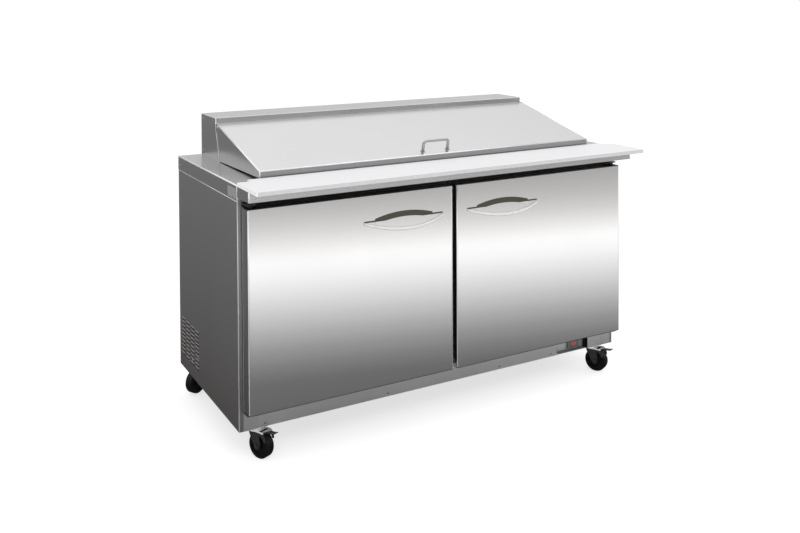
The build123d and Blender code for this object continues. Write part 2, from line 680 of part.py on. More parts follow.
def evaporator_cover():
    """Folded duct cover on the rear wall with the fan opening and air slots."""
    t, half, z0, z1 = 1.0, 520, 596.0, 842.0
    outer = wide_box(half, COVER_YF, CAV_YR - 1.2, z0, z1)
    inner = wide_box(half - t, COVER_YF + t, CAV_YR + 5, z0 + t, z1 - t)
    cover = outer - inner
    cover -= cyl_y(EVAP_X, COVER_YF - 8, COVER_YF + 4, EVAP_Z, 82.0)
    cover -= [Pos(-420 + 24 * i, COVER_YF + 1, EVAP_Z) * Box(10, 6, 150) for i in range(19)]
    cover -= [Pos(-460 + 40 * i, 545, z1 - 1) * Box(24, 60, 6) for i in range(24)]
    return cover


def fan(r, hub_r, depth, pitch):
    """Five-bladed axial fan about +Z with its origin at the hub's centre."""
    blades = 5
    wheel = Cylinder(hub_r, depth)
    for k in range(blades):
        blade = Rot(pitch, 0, 0) * Box(r - hub_r + 2, r * 0.52, 1.6)
        blade = Pos((r + hub_r) / 2 - 1, 0, 0) * blade
        wheel += Rot(0, 0, 360.0 * k / blades) * blade
    # blade tips are trimmed round
    trim = Cylinder(r + 4, depth * 3) - Cylinder(r, depth * 4)
    return (wheel - trim) - Cylinder(SHAFT_R + RUN, 40)


def evaporator_fan():
    wheel = fan(r=74.0, hub_r=22.0, depth=18.0, pitch=24)
    return Pos(EVAP_X, 503.0, EVAP_Z) * Rot(90, 0, 0) * wheel


def condenser_fan():
    wheel = fan(r=84.0, hub_r=24.0, depth=22.0, pitch=26)
    return Pos(238.0, COND_Y, COND_Z) * Rot(0, 90, 0) * wheel


def evaporator_motor():
    """Motor and shaft on a bar behind it, with an arm at each end forward to the cover."""
    x, z = EVAP_X, EVAP_Z
    motor = cyl_y(x, 522.0, 578.0, z, 30.0) + cyl_y(x, 492.0, 522.0, z, SHAFT_R)
    motor += box(x - 100, x + 100, 580.0, 583.0, z - 12, z + 12) + cyl_y(x, 578, 581, z, 20)
    for arm_x in (x - 98, x + 98):
        motor += box(arm_x - 2, arm_x + 2, COVER_YF + 1.2, 583.0, z - 12, z + 12)
    return motor


def condenser_motor():
    """Motor and shaft on an upright plate with a foot."""
    y, z = COND_Y, COND_Z
    motor = cyl_x(160.0, 220.0, y, z, 34.0) + cyl_x(220.0, 250.0, y, z, SHAFT_R)
    motor += box(176.0, 180.0, y - 20, y + 20, MACH_FLOOR, z)
    motor += box(150.0, 210.0, y - 25, y + 25, MACH_FLOOR, MACH_FLOOR + 2.4)
    return motor


def finned_coil(block, bar, length, width, height, pitch, tubes, overhang):
    """Tube-and-fin coil, joined piece by piece.

    block and bar build a box and a tube lengthwise; tubes lists (crosswise, z) centres,
    and every two in turn share a bend at the far end.
    """
    l0, l1 = length
    coil = None
    for across, z in tubes:
        tube_bar = bar(l0 - overhang, l1 + overhang, across, z)
        coil = tube_bar if coil is None else coil + tube_bar
    far = l1 + overhang
    for (a, z_a), (b, z_b) in zip(tubes[0::2], tubes[1::2]):
        coil += block(far - 6, far, min(a, b) - 4, max(a, b) + 4, min(z_a, z_b) - 4,
                      max(z_a, z_b) + 4)
    count = int((l1 - l0) / pitch)
    for i in range(count + 1):
        half_t = 0.4 if 0 < i < count else 1.0    # the end plates are thicker
        centre = l0 + (l1 - l0) * i / count
        coil += block(centre - half_t, centre + half_t, *width, *height)
    return coil


COIL_TUBE_R = 4.8


def evaporator_coil():
    """Coil with its tubes along X."""
    def bar(x0, x1, y, z):
        return cyl_x(x0, x1, y, z, COIL_TUBE_R)

    # (y, z) of each tube
    tubes = [(540, 645), (540, 685), (580, 685), (580, 645),
             (540, 725), (540, 765), (580, 765), (580, 725)]
    return finned_coil(box, bar, length=(-400, 120), width=(520, 600), height=(625, 785),
                       pitch=16, tubes=tubes, overhang=10)


def condenser_coil():
    """Coil with its tubes along Y."""
    def block(y0, y1, x0, x1, z0, z1):
        return box(x0, x1, y0, y1, z0, z1)

    def bar(y0, y1, x, z):
        return cyl_y(x, y0, y1, z, COIL_TUBE_R)

    # (x, z) of each tube
    tubes = [(318, 160), (318, 190), (346, 190), (346, 160), (318, 220),
             (318, 250), (346, 250), (346, 220), (318, 280), (318, 305)]
    return finned_coil(block, bar, length=(446, 636), width=(304, 360), height=(140, 322),
                       pitch=7, tubes=tubes, overhang=8)


COMP_X, COMP_Y = -60.0, 545.0        # compressor's upright axis


def compressor():
    """Hermetic shell on rubber feet, with its terminal box."""
    x, y = COMP_X, COMP_Y
    body = cyl_z(x, y, 158, 286, 76)
    body = round_edges(body, "+z", 40)
    body = round_edges(body, "-z", 22)
    seam = cyl_z(x, y, 214, 222, 79)
    plate = box(x - 92, x + 92, y - 70, y + 70, 146, 150) + cyl_z(x, y, 150, 170, 46)
    for foot_x in (x - 80, x + 80):
        for foot_y in (y - 58, y + 58):
            plate += cyl_z(foot_x, foot_y, MACH_FLOOR, 154, 11)
    terminals = box(x + 70, x + 104, y - 26, y + 26, 196, 250)
    return body + seam + plate + terminals


# (points, radius, bend) of each line
REFRIGERANT_LINES = [
    # discharge, from the compressor to the condenser
    ([(COMP_X, COMP_Y, 288), (COMP_X, COMP_Y, 306), (60, 470, 306), (290, 470, 306),
      (290, 442, 306), (312, 440, 306)], 3.2, 8),
    # liquid, up from the condenser
    ([(372, 442, 160), (420, 442, 160), (420, 520, 160), (420, 520, 318)], 2.6, 8),
    # insulated suction, back to the compressor
    ([(-150, COMP_Y, 200), (-190, COMP_Y, 200), (-190, 600, 240), (-190, 600, 318)], 5.0, 10),
]


def refrigerant_lines():
    return [tube(points, r, bend) for points, r, bend in REFRIGERANT_LINES]


# --------------------------- cord and screws -------------------------------
PLUG_HALF_Y = 8.5


def cord_path(y1):
    """From the gland, round a hank of turns moving rearward to y1, and down to the plug."""
    points = [(CORD_X, BODY_D + 6.9, CORD_Z), (CORD_X, BODY_D + 13, CORD_Z),
              (680, BODY_D + 15, 182), (650, BODY_D + 12, 184)]
    y0 = BODY_D + 6.0
    hank_x, hank_z, r0, r1 = 560.0, 250.0, 66.0, 50.0
    per_turn = 12
    steps = int(1.75 * per_turn)
    for i in range(steps + 1):
        angle = math.radians(-60) - 2 * math.pi * i / per_turn
        r = r0 + (r1 - r0) * i / steps
        y = y0 + (y1 - y0) * i / steps
        points.append((hank_x + r * math.cos(angle), y, hank_z + r * math.sin(angle)))
    points += [(608, y1 + 3.5, 242), (608, y1 + 3.5, 216), (607, y1, 190)]
    return Spline(*points)


def power_cord():
    """Supply cord out of the rear grille, a hank of turns, and a moulded three-pin plug."""
    x, z = 607.0, 190.4                              # top of the plug
    y = 2 * Y_MID - BOARD_YF - PLUG_HALF_Y           # the plug's back ends the overall depth
    gland = cyl_y(CORD_X, BODY_D - 6.0, BODY_D + 7.0, CORD_Z, GLAND_R)
    gland += cyl_y(CORD_X, BODY_D + 0.05, BODY_D + 4.0, CORD_Z, 10.0)
    path = cord_path(y)
    cord = sweep(Plane(origin=path @ 0, z_dir=path % 0) * Circle(4.0), path=path)
    plug = box(x - 12, x + 12, y - PLUG_HALF_Y, y + PLUG_HALF_Y, z - 36, z)
    plug = fillet(plug.edges().filter_by(Axis.Z), 5)
    for blade_x in (x - 6.35, x + 6.35):
        plug += box(blade_x - 0.75, blade_x + 0.75, y - 0.5, y + 6.5, z - 54, z - 35)
    plug += cyl_z(x, y - 4.5, z - 56, z - 35, 2.3)
    return (gland + cord) + plug


HEAD_TURNS = {
    "-x": Rot(0, -90, 0), "+x": Rot(0, 90, 0), "-y": Rot(90, 0, 0), "+y": Rot(-90, 0, 0),
}


def pin_head(x, y, z, facing, r=3.6, h=1.6):
    """A pan-head screw's head: a low dome with a cross slot, flat side on the sheet."""
    head = Pos(0, 0, h / 2) * Cylinder(r, h)
    head = fillet(head.edges().sort_by(Axis.Z)[-1], h * 0.7)
    head -= Pos(0, 0, h) * Box(r * 1.1, 0.7, 0.9) + Pos(0, 0, h) * Box(0.7, r * 1.1, 0.9)
    return Pos(x, y, z) * HEAD_TURNS[facing] * head


def screws():
    heads = []
    for side, facing in ((-1, "-x"), (1, "+x")):
        for y, z in ((12, 901), (12, 873), (40, 873), (640, 880)):     # worktop apron
            heads.append(pin_head(side * HALF_W, y, z, facing, r=4.0))
        for y, z in ((462, 932), (636, 932), (636, 1052)):             # hood ends
            heads.append(pin_head(side * HOOD_X, y, z, facing))
    for x in (-690, -240, 230, 470):                                   # kick panel
        heads.append(pin_head(x, 0, 140, "-y", r=3.2, h=1.4))
    for x in (-700, -350, 0, 350, 700):                                # grille, back panel
        for z in (143.0, 322.0, 848.0, 346.0):
            heads.append(pin_head(x, BODY_D, z, "+y"))
    for x in (-560, -280, 0, 280, 560):                                # rear of the hood
        heads.append(pin_head(x, HOOD_YR, 932.0, "+y"))
    return heads


# ------------------------------ casters ------------------------------------
# name: (stem x, stem y, rest angle)
CASTERS = {
    "front_left": (-CAST_X, CAST_YF, SWIVEL_FRONT),
    "front_right": (CAST_X, CAST_YF, SWIVEL_FRONT),
    "rear_left": (-CAST_X - REAR_OUT, CAST_YR, SWIVEL_REAR),
    "rear_right": (CAST_X + REAR_OUT, CAST_YR, SWIVEL_REAR),
}
KINGPIN_R = 6.0
AXLE_R = 5.0
LEG_X, LEG_T = WHEEL_W / 2 + 3.0, 3.0        # inner face and thickness of the fork's legs
PEDAL_Y, PEDAL_Z, PEDAL_PIN_R = -42.0, 108.0, 3.0    # pedal's pin, in the fork's own frame

# side views as (y, z), with the trail along -Y
LEG_OUTLINE = [
    (-26.0, 112.0), (14.0, 112.0), (10.0, 99.0), (-TRAIL + 11, WHEEL_Z - 4),
    (-TRAIL, WHEEL_Z - 12), (-TRAIL - 11, WHEEL_Z - 6), (-TRAIL - 13, WHEEL_Z + 10),
    (-30.0, 99.0),
]
LUG_OUTLINE = [
    (-24.0, 104.0), (-24.0, 112.0), (-36.0, 114.0), (-46.0, 113.5), (-50.0, 108.0),
    (-56.0, 98.0), (-58.0, 86.0), (-53.0, 84.0), (-46.0, 96.0), (-36.0, 101.0),
]


def caster_plate(x, y):
    """Mounting plate with a bearing housing under it and four bolt heads."""
    z0 = Z_BASE - 3
    plate = box(x - 31, x + 31, y - 31, y + 31, z0, Z_BASE)
    plate = fillet(plate.edges().filter_by(Axis.Z), 6)
    plate += cyl_z(x, y, 115.8, z0, 27.0)
    plate = round_edges(plate, "-z", 2.4)
    plate -= cyl_z(x, y, 110.0, 122.5, KINGPIN_R + RUN)
    for bolt_x in (x - 23.5, x + 23.5):
        for bolt_y in (y - 23.5, y + 23.5):
            plate += cyl_z(bolt_x, bolt_y, z0 - 3.6, z0, 4.6)
    return plate


def fork():
    """Swivel crown, kingpin, two legs and the axle with its nuts; the trail runs along -Y."""
    outer = LEG_X + LEG_T
    crown = cyl_z(0, 0, 110.8, 115.4, 26.0) + cyl_z(0, 0, 115.4, 121.5, KINGPIN_R)
    crown += wide_box(outer, -26, 14, 109.6, 112.0)
    leg = prism_x(LEG_OUTLINE, LEG_X, outer)
    leg = round_edges(leg, "-z", 7.0, along=Axis.X)
    body = crown + [mirrored(leg), leg]
    body += cyl_x(-outer - 4.5, outer + 4.5, -TRAIL, WHEEL_Z, AXLE_R)
    nut_h = 5.0
    for x in (-outer - nut_h, outer):
        seat = Plane(origin=(x, -TRAIL, WHEEL_Z), z_dir=(1, 0, 0))
        body += seat * extrude(RegularPolygon(8.2, 6), nut_h)
    return body


def braked_fork():
    """The fork with a pair of lugs that hold the pedal's pin."""
    body = fork()
    lug = prism_x(LUG_OUTLINE, LEG_X, LEG_X + LEG_T)
    body += mirrored(lug)
    body += lug
    body += cyl_x(-LEG_X - 4.5, LEG_X + 4.5, PEDAL_Y, PEDAL_Z, PEDAL_PIN_R)
    return body


def wheel():
    """Rounded tyre, dished on both faces, with a hub and the axle bore."""
    half = WHEEL_W / 2
    tyre = cyl_x(-half, half, -TRAIL, WHEEL_Z, WHEEL_R)
    tyre = fillet(tyre.edges().filter_by(GeomType.CIRCLE), 6.0)
    dish = cyl_x(half - 5, half + 1, -TRAIL, WHEEL_Z, 28.5)
    dish -= cyl_x(half - 6, half + 2, -TRAIL, WHEEL_Z, 13.5)
    tyre -= mirrored(dish)
    tyre -= dish
    tyre += cyl_x(-half - 2.6, half + 2.6, -TRAIL, WHEEL_Z, 10.5)
    tyre -= cyl_x(-half - 5, half + 5, -TRAIL, WHEEL_Z, AXLE_R + RUN)
    return tyre


def brake_pedal():
    """Stamped pedal on the fork's pin, with its narrow tread tipped up at rest."""
    half, cheek_t = WHEEL_W / 2 + 2.6, 2.2
    y, z = PEDAL_Y, PEDAL_Z
    body = wide_box(half, y - 8.0, y + 4.0, z + 2.2, z + 4.6)
    for side in (-1, 1):
        body += box(side * (half - cheek_t), side * half, y - 6.0, y + 6.0, z - 4.5, z + 4.6)
    tread = Pos(0, y - 7.0, z + 3.4) * Rot(-6, 0, 0) * Pos(0, -17.0, 0) * Box(18, 36, 2.4)
    tip = Pos(0, y - 42.0, z + 8.0) * Rot(-24, 0, 0) * Box(18, 9, 2.4)
    body += tread + tip
    body -= cyl_x(-half - 1, half + 1, y, z, PEDAL_PIN_R + RUN)
    return body


def write_casters():
    """Turns each caster's pieces to the rest angle at its mounting point."""
    write("caster_plates", [caster_plate(x, y) for x, y, _ in CASTERS.values()])
    front_fork, rear_fork, tyre, pedal = braked_fork(), fork(), wheel(), brake_pedal()
    for name, (x, y, angle) in CASTERS.items():
        front = name.startswith("front")
        place = Pos(x, y, 0) * Rot(0, 0, angle)
        write("caster_fork_" + name, place * (front_fork if front else rear_fork))
        write("caster_wheel_" + name, place * tyre)
        if front:
            write("brake_pedal_" + name, place * pedal)


# ------------------------------ write --------------------------------------
write_pair("side_panel", side_panel())
write_pair("door_skin", door_skin())
write_pair("door_liner", door_liner())
write_pair("door_foam", door_foam())
write_pair("door_gasket", door_gasket())
bow = handle_bow()
write_pair("door_handle", bow, handle_arch() - bow)

for key_name, key_z in KEYS.items():
    write(key_name, key(key_z))

# each of these is written under its function's name
for build in (
    back_panel, rear_grille, floor_pan, face_frame, breaker_strip, kick_panel, control_panel,
    thermostat, insulation, inner_liner, worktop, pan_divider_bars, food_pans, board_rail,
    cutting_board, hood_housing, lid_hinge_pins, lid_shell, lid_foam, lid_liner, lid_handle,
    door_hinge_brackets, wire_shelves, shelf_supports, evaporator_cover, evaporator_coil,
    evaporator_fan, condenser_fan, condenser_coil, compressor, refrigerant_lines, power_cord,
    screws,
):
    write(build.__name__, build())
write("fan_motors", [evaporator_motor(), condenser_motor()])
write_casters()
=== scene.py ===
import bpy, bmesh, json, math
from mathutils import Vector, Matrix


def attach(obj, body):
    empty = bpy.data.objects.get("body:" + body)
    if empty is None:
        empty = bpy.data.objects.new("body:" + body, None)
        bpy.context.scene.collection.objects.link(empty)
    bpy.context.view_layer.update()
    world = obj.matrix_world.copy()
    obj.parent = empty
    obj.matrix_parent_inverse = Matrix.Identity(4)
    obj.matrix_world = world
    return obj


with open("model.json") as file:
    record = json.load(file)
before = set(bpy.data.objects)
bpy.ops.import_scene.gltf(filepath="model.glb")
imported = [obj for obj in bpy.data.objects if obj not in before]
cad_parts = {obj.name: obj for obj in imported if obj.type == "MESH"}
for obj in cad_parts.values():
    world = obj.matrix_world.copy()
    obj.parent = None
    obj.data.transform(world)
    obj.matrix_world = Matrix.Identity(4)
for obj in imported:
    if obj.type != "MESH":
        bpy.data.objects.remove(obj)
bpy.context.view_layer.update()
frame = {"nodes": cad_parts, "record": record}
nodes = frame["nodes"]
slot_of = {s["node"]: s["material_slot"] for s in frame["record"]["subparts"]}
scene = bpy.context.scene


# --------------------------------------------------------------------------
# node helpers
# --------------------------------------------------------------------------
class Net:
    """A small wrapper that keeps node building short."""

    def __init__(self, name):
        self.m = bpy.data.materials.new(name)
        self.m.use_nodes = True
        self.t = self.m.node_tree
        self.t.nodes.clear()
        self.out = self.n("ShaderNodeOutputMaterial")
        self.b = self.n("ShaderNodeBsdfPrincipled")
        self.l(self.b.outputs[0], self.out.inputs[0])
        self.co = self.n("ShaderNodeTexCoord").outputs["Object"]

    def n(self, kind, **kw):
        node = self.t.nodes.new(kind)
        for k, v in kw.items():
            setattr(node, k, v)
        return node

    def l(self, a, b):
        self.t.links.new(a, b)

    def set(self, **kw):
        for k, v in kw.items():
            s = self.b.inputs[k.replace("_", " ")]
            if hasattr(v, "links") or isinstance(v, bpy.types.NodeSocket):
                self.l(v, s)
            elif isinstance(v, (tuple, list)) and len(v) == 3 and s.type == "RGBA":
                s.default_value = (*v, 1)
            else:
                s.default_value = v

    def scaled(self, sx, sy, sz, rot=(0, 0, 0)):
        m = self.n("ShaderNodeMapping")
        m.inputs["Scale"].default_value = (sx, sy, sz)
        m.inputs["Rotation"].default_value = rot
        self.l(self.co, m.inputs[0])
        return m.outputs[0]

    def noise(self, vec, scale=1.0, detail=3.0, rough=0.55, dist=0.0):
        n = self.n("ShaderNodeTexNoise")
        n.inputs["Scale"].default_value = scale
        n.inputs["Detail"].default_value = detail
        n.inputs["Roughness"].default_value = rough
        n.inputs["Distortion"].default_value = dist
        self.l(vec, n.inputs["Vector"])
        return n.outputs["Fac"]

    def rng(self, v, a, b, c, d, smooth=False):
        r = self.n("ShaderNodeMapRange")
        if smooth:
            r.interpolation_type = "SMOOTHSTEP"
        for k, x in zip((1, 2, 3, 4), (a, b, c, d)):
            r.inputs[k].default_value = x
        self.l(v, r.inputs[0])
        return r.outputs[0]

    def math(self, op, a, b=None, c=None):
        m = self.n("ShaderNodeMath", operation=op)
        for i, x in enumerate((a, b, c)):
            if x is None:
                continue
            if isinstance(x, bpy.types.NodeSocket):
                self.l(x, m.inputs[i])
            else:
                m.inputs[i].default_value = x
        return m.outputs[0]

    def mix(self, fac, a, b):
        m = self.n("ShaderNodeMix", data_type="RGBA")
        for i, x in ((0, fac), (6, a), (7, b)):
            if isinstance(x, bpy.types.NodeSocket):
                self.l(x, m.inputs[i])
            elif i:
                m.inputs[i].default_value = (*x, 1) if len(x) == 3 else x
            else:
                m.inputs[i].default_value = x
        return m.outputs[2]

    def bump(self, height, strength=0.2, dist=0.0005, normal=None):
        b = self.n("ShaderNodeBump")
        b.inputs["Strength"].default_value = strength
        b.inputs["Distance"].default_value = dist
        self.l(height, b.inputs["Height"])
        if normal is not None:
            self.l(normal, b.inputs["Normal"])
        return b.outputs[0]


def stretch(axis, along, across):
    """Texture scale that is coarse along one axis and fine across it."""
    return [along if a == axis else across for a in "xyz"]


def brushed(name, base, rough, axis="x", aniso=0.6, grain=0.03, bump=0.05, smudge=0.03, metallic=1.0):
    """Brushed stainless: fine streaks along the grain in colour, roughness and height, with faint wiping marks."""
    k = Net(name)
    fine = k.noise(k.scaled(*stretch(axis, 5.0, 1400.0)), 1.0, 2.0, 0.6)
    mid = k.noise(k.scaled(*stretch(axis, 1.6, 260.0)), 1.0, 3.0, 0.6)
    blot = k.noise(k.scaled(3.1, 2.7, 3.4), 1.0, 4.0, 0.6, 0.6)
    streak = k.math("ADD", k.math("MULTIPLY", fine, 0.6), k.math("MULTIPLY", mid, 0.4))
    lo = tuple(c * (1 - grain) for c in base)
    hi = tuple(min(1.0, c * (1 + grain)) for c in base)
    col = k.mix(k.rng(streak, 0.3, 0.7, 0, 1), lo, hi)
    r = k.math("ADD", k.rng(streak, 0.3, 0.7, rough - 0.02, rough + 0.02), k.rng(blot, 0.35, 0.7, -smudge * 0.5, smudge))
    tangent = k.n("ShaderNodeCombineXYZ")
    # the highlight spreads across the grain
    v = {"x": (0, 0.7071, 0.7071), "y": (0.7071, 0, 0.7071), "z": (0.7071, 0.7071, 0)}[axis]
    for i in range(3):
        tangent.inputs[i].default_value = v[i]
    k.set(Base_Color=col, Metallic=metallic, Roughness=r, Anisotropic=aniso, Tangent=tangent.outputs[0],
          Normal=k.bump(streak, bump, 0.00025))
    return k.m


def plastic(name, base, rough=0.45, grain=0.12, scale=900.0, bump=0.25, dist=0.0002, spec=0.5, coat=0.0, mottle=0.06):
    """Moulded plastic or paint: a fine pebble in height and a slow drift of tone."""
    k = Net(name)
    peb = k.noise(k.scaled(scale, scale, scale), 1.0, 3.0, 0.6)
    slow = k.noise(k.scaled(6, 6, 6), 1.0, 4.0, 0.6, 0.4)
    lo = tuple(c * (1 - mottle) for c in base)
    hi = tuple(min(1.0, c * (1 + mottle)) for c in base)
    k.set(Base_Color=k.mix(k.rng(slow, 0.3, 0.7, 0, 1), lo, hi),
          Roughness=k.math("ADD", k.rng(peb, 0.3, 0.7, rough - grain * 0.5, rough + grain * 0.5), k.rng(slow, 0.3, 0.7, -0.04, 0.04)),
          Normal=k.bump(peb, bump, dist))
    k.b.inputs["Specular IOR Level"].default_value = spec
    k.b.inputs["Coat Weight"].default_value = coat
    k.b.inputs["Coat Roughness"].default_value = 0.15
    return k.m


def rubber(name, base=(0.018, 0.018, 0.019), rough=0.62, dusty=0.012, spec=0.5):
    k = Net(name)
    peb = k.noise(k.scaled(1100, 1100, 1100), 1.0, 4.0, 0.7)
    dust = k.noise(k.scaled(24, 24, 24), 1.0, 5.0, 0.65, 0.8)
    col = k.mix(k.rng(dust, 0.45, 0.8, 0, 0.5), base, tuple(c * 1.9 + dusty for c in base))
    k.b.inputs["Specular IOR Level"].default_value = spec
    k.set(Base_Color=col, Roughness=k.rng(dust, 0.3, 0.75, rough - 0.08, rough + 0.1), Normal=k.bump(peb, 0.3, 0.0002))
    return k.m


def zinc(name="zinc", lo=(0.62, 0.63, 0.64), hi=(0.74, 0.745, 0.75), r0=0.22, r1=0.38, metallic=1.0):
    """Bright zinc plate: a fine spangle and thin streaks of tone."""
    k = Net(name)
    vor = k.n("ShaderNodeTexVoronoi")
    vor.inputs["Scale"].default_value = 1.0
    k.l(k.scaled(240, 240, 240), vor.inputs["Vector"])
    fine = k.noise(k.scaled(700, 700, 700), 1.0, 4.0, 0.6)
    wear = k.noise(k.scaled(40, 40, 40), 1.0, 4.0, 0.65, 0.5)
    f = k.rng(vor.outputs["Distance"], 0.1, 0.8, 0.0, 1.0)
    col = k.mix(f, lo, hi)
    col = k.mix(k.rng(wear, 0.55, 0.75, 0, 0.35), col, tuple(c * 0.68 for c in lo))
    k.set(Base_Color=col, Metallic=metallic, Roughness=k.rng(wear, 0.3, 0.7, r0, r1), Normal=k.bump(fine, 0.12, 0.0002))
    return k.m


def galvanised(name="galvanised"):
    k = Net(name)
    vor = k.n("ShaderNodeTexVoronoi")
    vor.inputs["Scale"].default_value = 1.0
    k.l(k.scaled(70, 70, 70), vor.inputs["Vector"])
    cell = k.rng(vor.outputs["Color"], 0.0, 1.0, 0.0, 1.0)
    fine = k.noise(k.scaled(500, 500, 500), 1.0, 3.0, 0.6)
    col = k.mix(cell, (0.46, 0.47, 0.48), (0.60, 0.61, 0.62))
    k.set(Base_Color=col, Metallic=1.0, Roughness=k.rng(cell, 0, 1, 0.34, 0.48), Normal=k.bump(fine, 0.1, 0.0002))
    return k.m


def foam():
    k = Net("foam")
    cells = k.noise(k.scaled(500, 500, 500), 1.0, 5.0, 0.7)
    slow = k.noise(k.scaled(9, 9, 9), 1.0, 3.0, 0.6)
    col = k.mix(slow, (0.78, 0.66, 0.38), (0.88, 0.79, 0.52))
    k.set(Base_Color=col, Roughness=0.9, Normal=k.bump(cells, 0.6, 0.0006))
    return k.m


def board():
    """White polyethylene: fine matt texture, faint knife marks and a hint of translucence."""
    k = Net("board_white")
    tex = k.noise(k.scaled(1300, 1300, 1300), 1.0, 3.0, 0.7)
    cuts = k.noise(k.scaled(9, 520, 60, (0, 0, 0.22)), 1.0, 2.0, 0.5, 0.1)
    cuts2 = k.noise(k.scaled(600, 8, 60, (0, 0, -0.35)), 1.0, 2.0, 0.5, 0.1)
    area = k.noise(k.scaled(2.2, 7, 2), 1.0, 2.0, 0.5)
    mark = k.math("MULTIPLY", k.math("MAXIMUM", k.rng(cuts, 0.70, 0.78, 0, 1), k.rng(cuts2, 0.72, 0.80, 0, 1)), k.rng(area, 0.42, 0.62, 0, 1))
    col = k.mix(k.math("MULTIPLY", mark, 0.22), (0.93, 0.93, 0.945), (0.84, 0.84, 0.84))
    h = k.math("SUBTRACT", k.math("MULTIPLY", tex, 0.35), mark)
    k.set(Base_Color=col, Roughness=k.rng(tex, 0.3, 0.7, 0.38, 0.5), Normal=k.bump(h, 0.25, 0.0003))
    k.b.inputs["Subsurface Weight"].default_value = 0.06
    k.b.inputs["Subsurface Radius"].default_value = (0.004, 0.004, 0.004)
    return k.m


def enamel(name, base, rough=0.28, coat=0.6):
    k = Net(name)
    peel = k.noise(k.scaled(160, 160, 160), 1.0, 2.0, 0.5)
    slow = k.noise(k.scaled(14, 14, 14), 1.0, 4.0, 0.6)
    k.set(Base_Color=k.mix(slow, tuple(c * 0.85 for c in base), tuple(min(1, c * 1.15) for c in base)),
          Roughness=k.rng(slow, 0.3, 0.7, rough - 0.04, rough + 0.06), Normal=k.bump(peel, 0.12, 0.0004))
    k.b.inputs["Coat Weight"].default_value = coat
    k.b.inputs["Coat Roughness"].default_value = 0.12
    return k.m


def copper():
    k = Net("copper")
    ox = k.noise(k.scaled(30, 30, 30), 1.0, 5.0, 0.65, 0.6)
    fine = k.noise(k.scaled(800, 800, 800), 1.0, 2.0, 0.5)
    col = k.mix(k.rng(ox, 0.4, 0.75, 0, 1), (0.78, 0.42, 0.27), (0.45, 0.24, 0.15))
    k.set(Base_Color=col, Metallic=1.0, Roughness=k.rng(ox, 0.3, 0.8, 0.22, 0.45), Normal=k.bump(fine, 0.08, 0.0002))
    return k.m


def handle_metal():
    """Satin cast bow; the backing arch on the door's skin is dark, told apart by its place."""
    k = Net("satin_handle")
    sep = k.n("ShaderNodeSeparateXYZ")
    k.l(k.co, sep.inputs[0])
    fine = k.noise(k.scaled(5, 1200, 1200), 1.0, 2.0, 0.6)
    slow = k.noise(k.scaled(25, 25, 25), 1.0, 4.0, 0.6)
    col = k.mix(k.rng(fine, 0.3, 0.7, 0, 1), (0.72, 0.72, 0.70), (0.80, 0.80, 0.78))
    k.set(Base_Color=col, Metallic=0.25, Roughness=k.rng(slow, 0.3, 0.7, 0.26, 0.36), Normal=k.bump(fine, 0.08, 0.0002))
    return k.m


def split_by_place(name, base_mat, under, tests):
    """A copy of base_mat with a second colour where every test on position (axis, over or under, metres) holds; used
    both for real two-tone parts and for painted shade.
    """
    m = base_mat.copy()
    m.name = name
    t = m.node_tree
    out = next(n for n in t.nodes if n.type == "OUTPUT_MATERIAL")
    first = out.inputs[0].links[0].from_socket
    co = t.nodes.new("ShaderNodeTexCoord")
    sep = t.nodes.new("ShaderNodeSeparateXYZ")
    t.links.new(co.outputs["Object"], sep.inputs[0])
    fac = None
    for axis, op, val in tests:
        src = sep.outputs["xyz".index(axis[-1])]
        if axis.startswith("abs"):
            a = t.nodes.new("ShaderNodeMath"); a.operation = "ABSOLUTE"
            t.links.new(src, a.inputs[0])
            src = a.outputs[0]
        c = t.nodes.new("ShaderNodeMath")
        c.operation = "GREATER_THAN" if op == ">" else "LESS_THAN"
        t.links.new(src, c.inputs[0])
        c.inputs[1].default_value = val
        if fac is None:
            fac = c.outputs[0]
        else:
            mu = t.nodes.new("ShaderNodeMath"); mu.operation = "MULTIPLY"
            t.links.new(fac, mu.inputs[0]); t.links.new(c.outputs[0], mu.inputs[1])
            fac = mu.outputs[0]
    color, rough, metal = under
    b2 = t.nodes.new("ShaderNodeBsdfPrincipled")
    nz = t.nodes.new("ShaderNodeTexNoise"); nz.inputs["Scale"].default_value = 60.0; nz.inputs["Detail"].default_value = 4.0
    t.links.new(co.outputs["Object"], nz.inputs["Vector"])
    mr = t.nodes.new("ShaderNodeMapRange")
    mr.inputs[1].default_value, mr.inputs[2].default_value = 0.3, 0.7
    mr.inputs[3].default_value, mr.inputs[4].default_value = rough - 0.06, rough + 0.06
    t.links.new(nz.outputs["Fac"], mr.inputs[0]); t.links.new(mr.outputs[0], b2.inputs["Roughness"])
    mc = t.nodes.new("ShaderNodeMix"); mc.data_type = "RGBA"
    mc.inputs[6].default_value = (*[c * 0.88 for c in color], 1); mc.inputs[7].default_value = (*[min(1, c * 1.12) for c in color], 1)
    t.links.new(nz.outputs["Fac"], mc.inputs[0]); t.links.new(mc.outputs[2], b2.inputs["Base Color"])
    b2.inputs["Metallic"].default_value = metal
    mx = t.nodes.new("ShaderNodeMixShader")
    t.links.new(fac, mx.inputs[0]); t.links.new(first, mx.inputs[1]); t.links.new(b2.outputs[0], mx.inputs[2])
    t.links.new(mx.outputs[0], out.inputs[0])
    return m


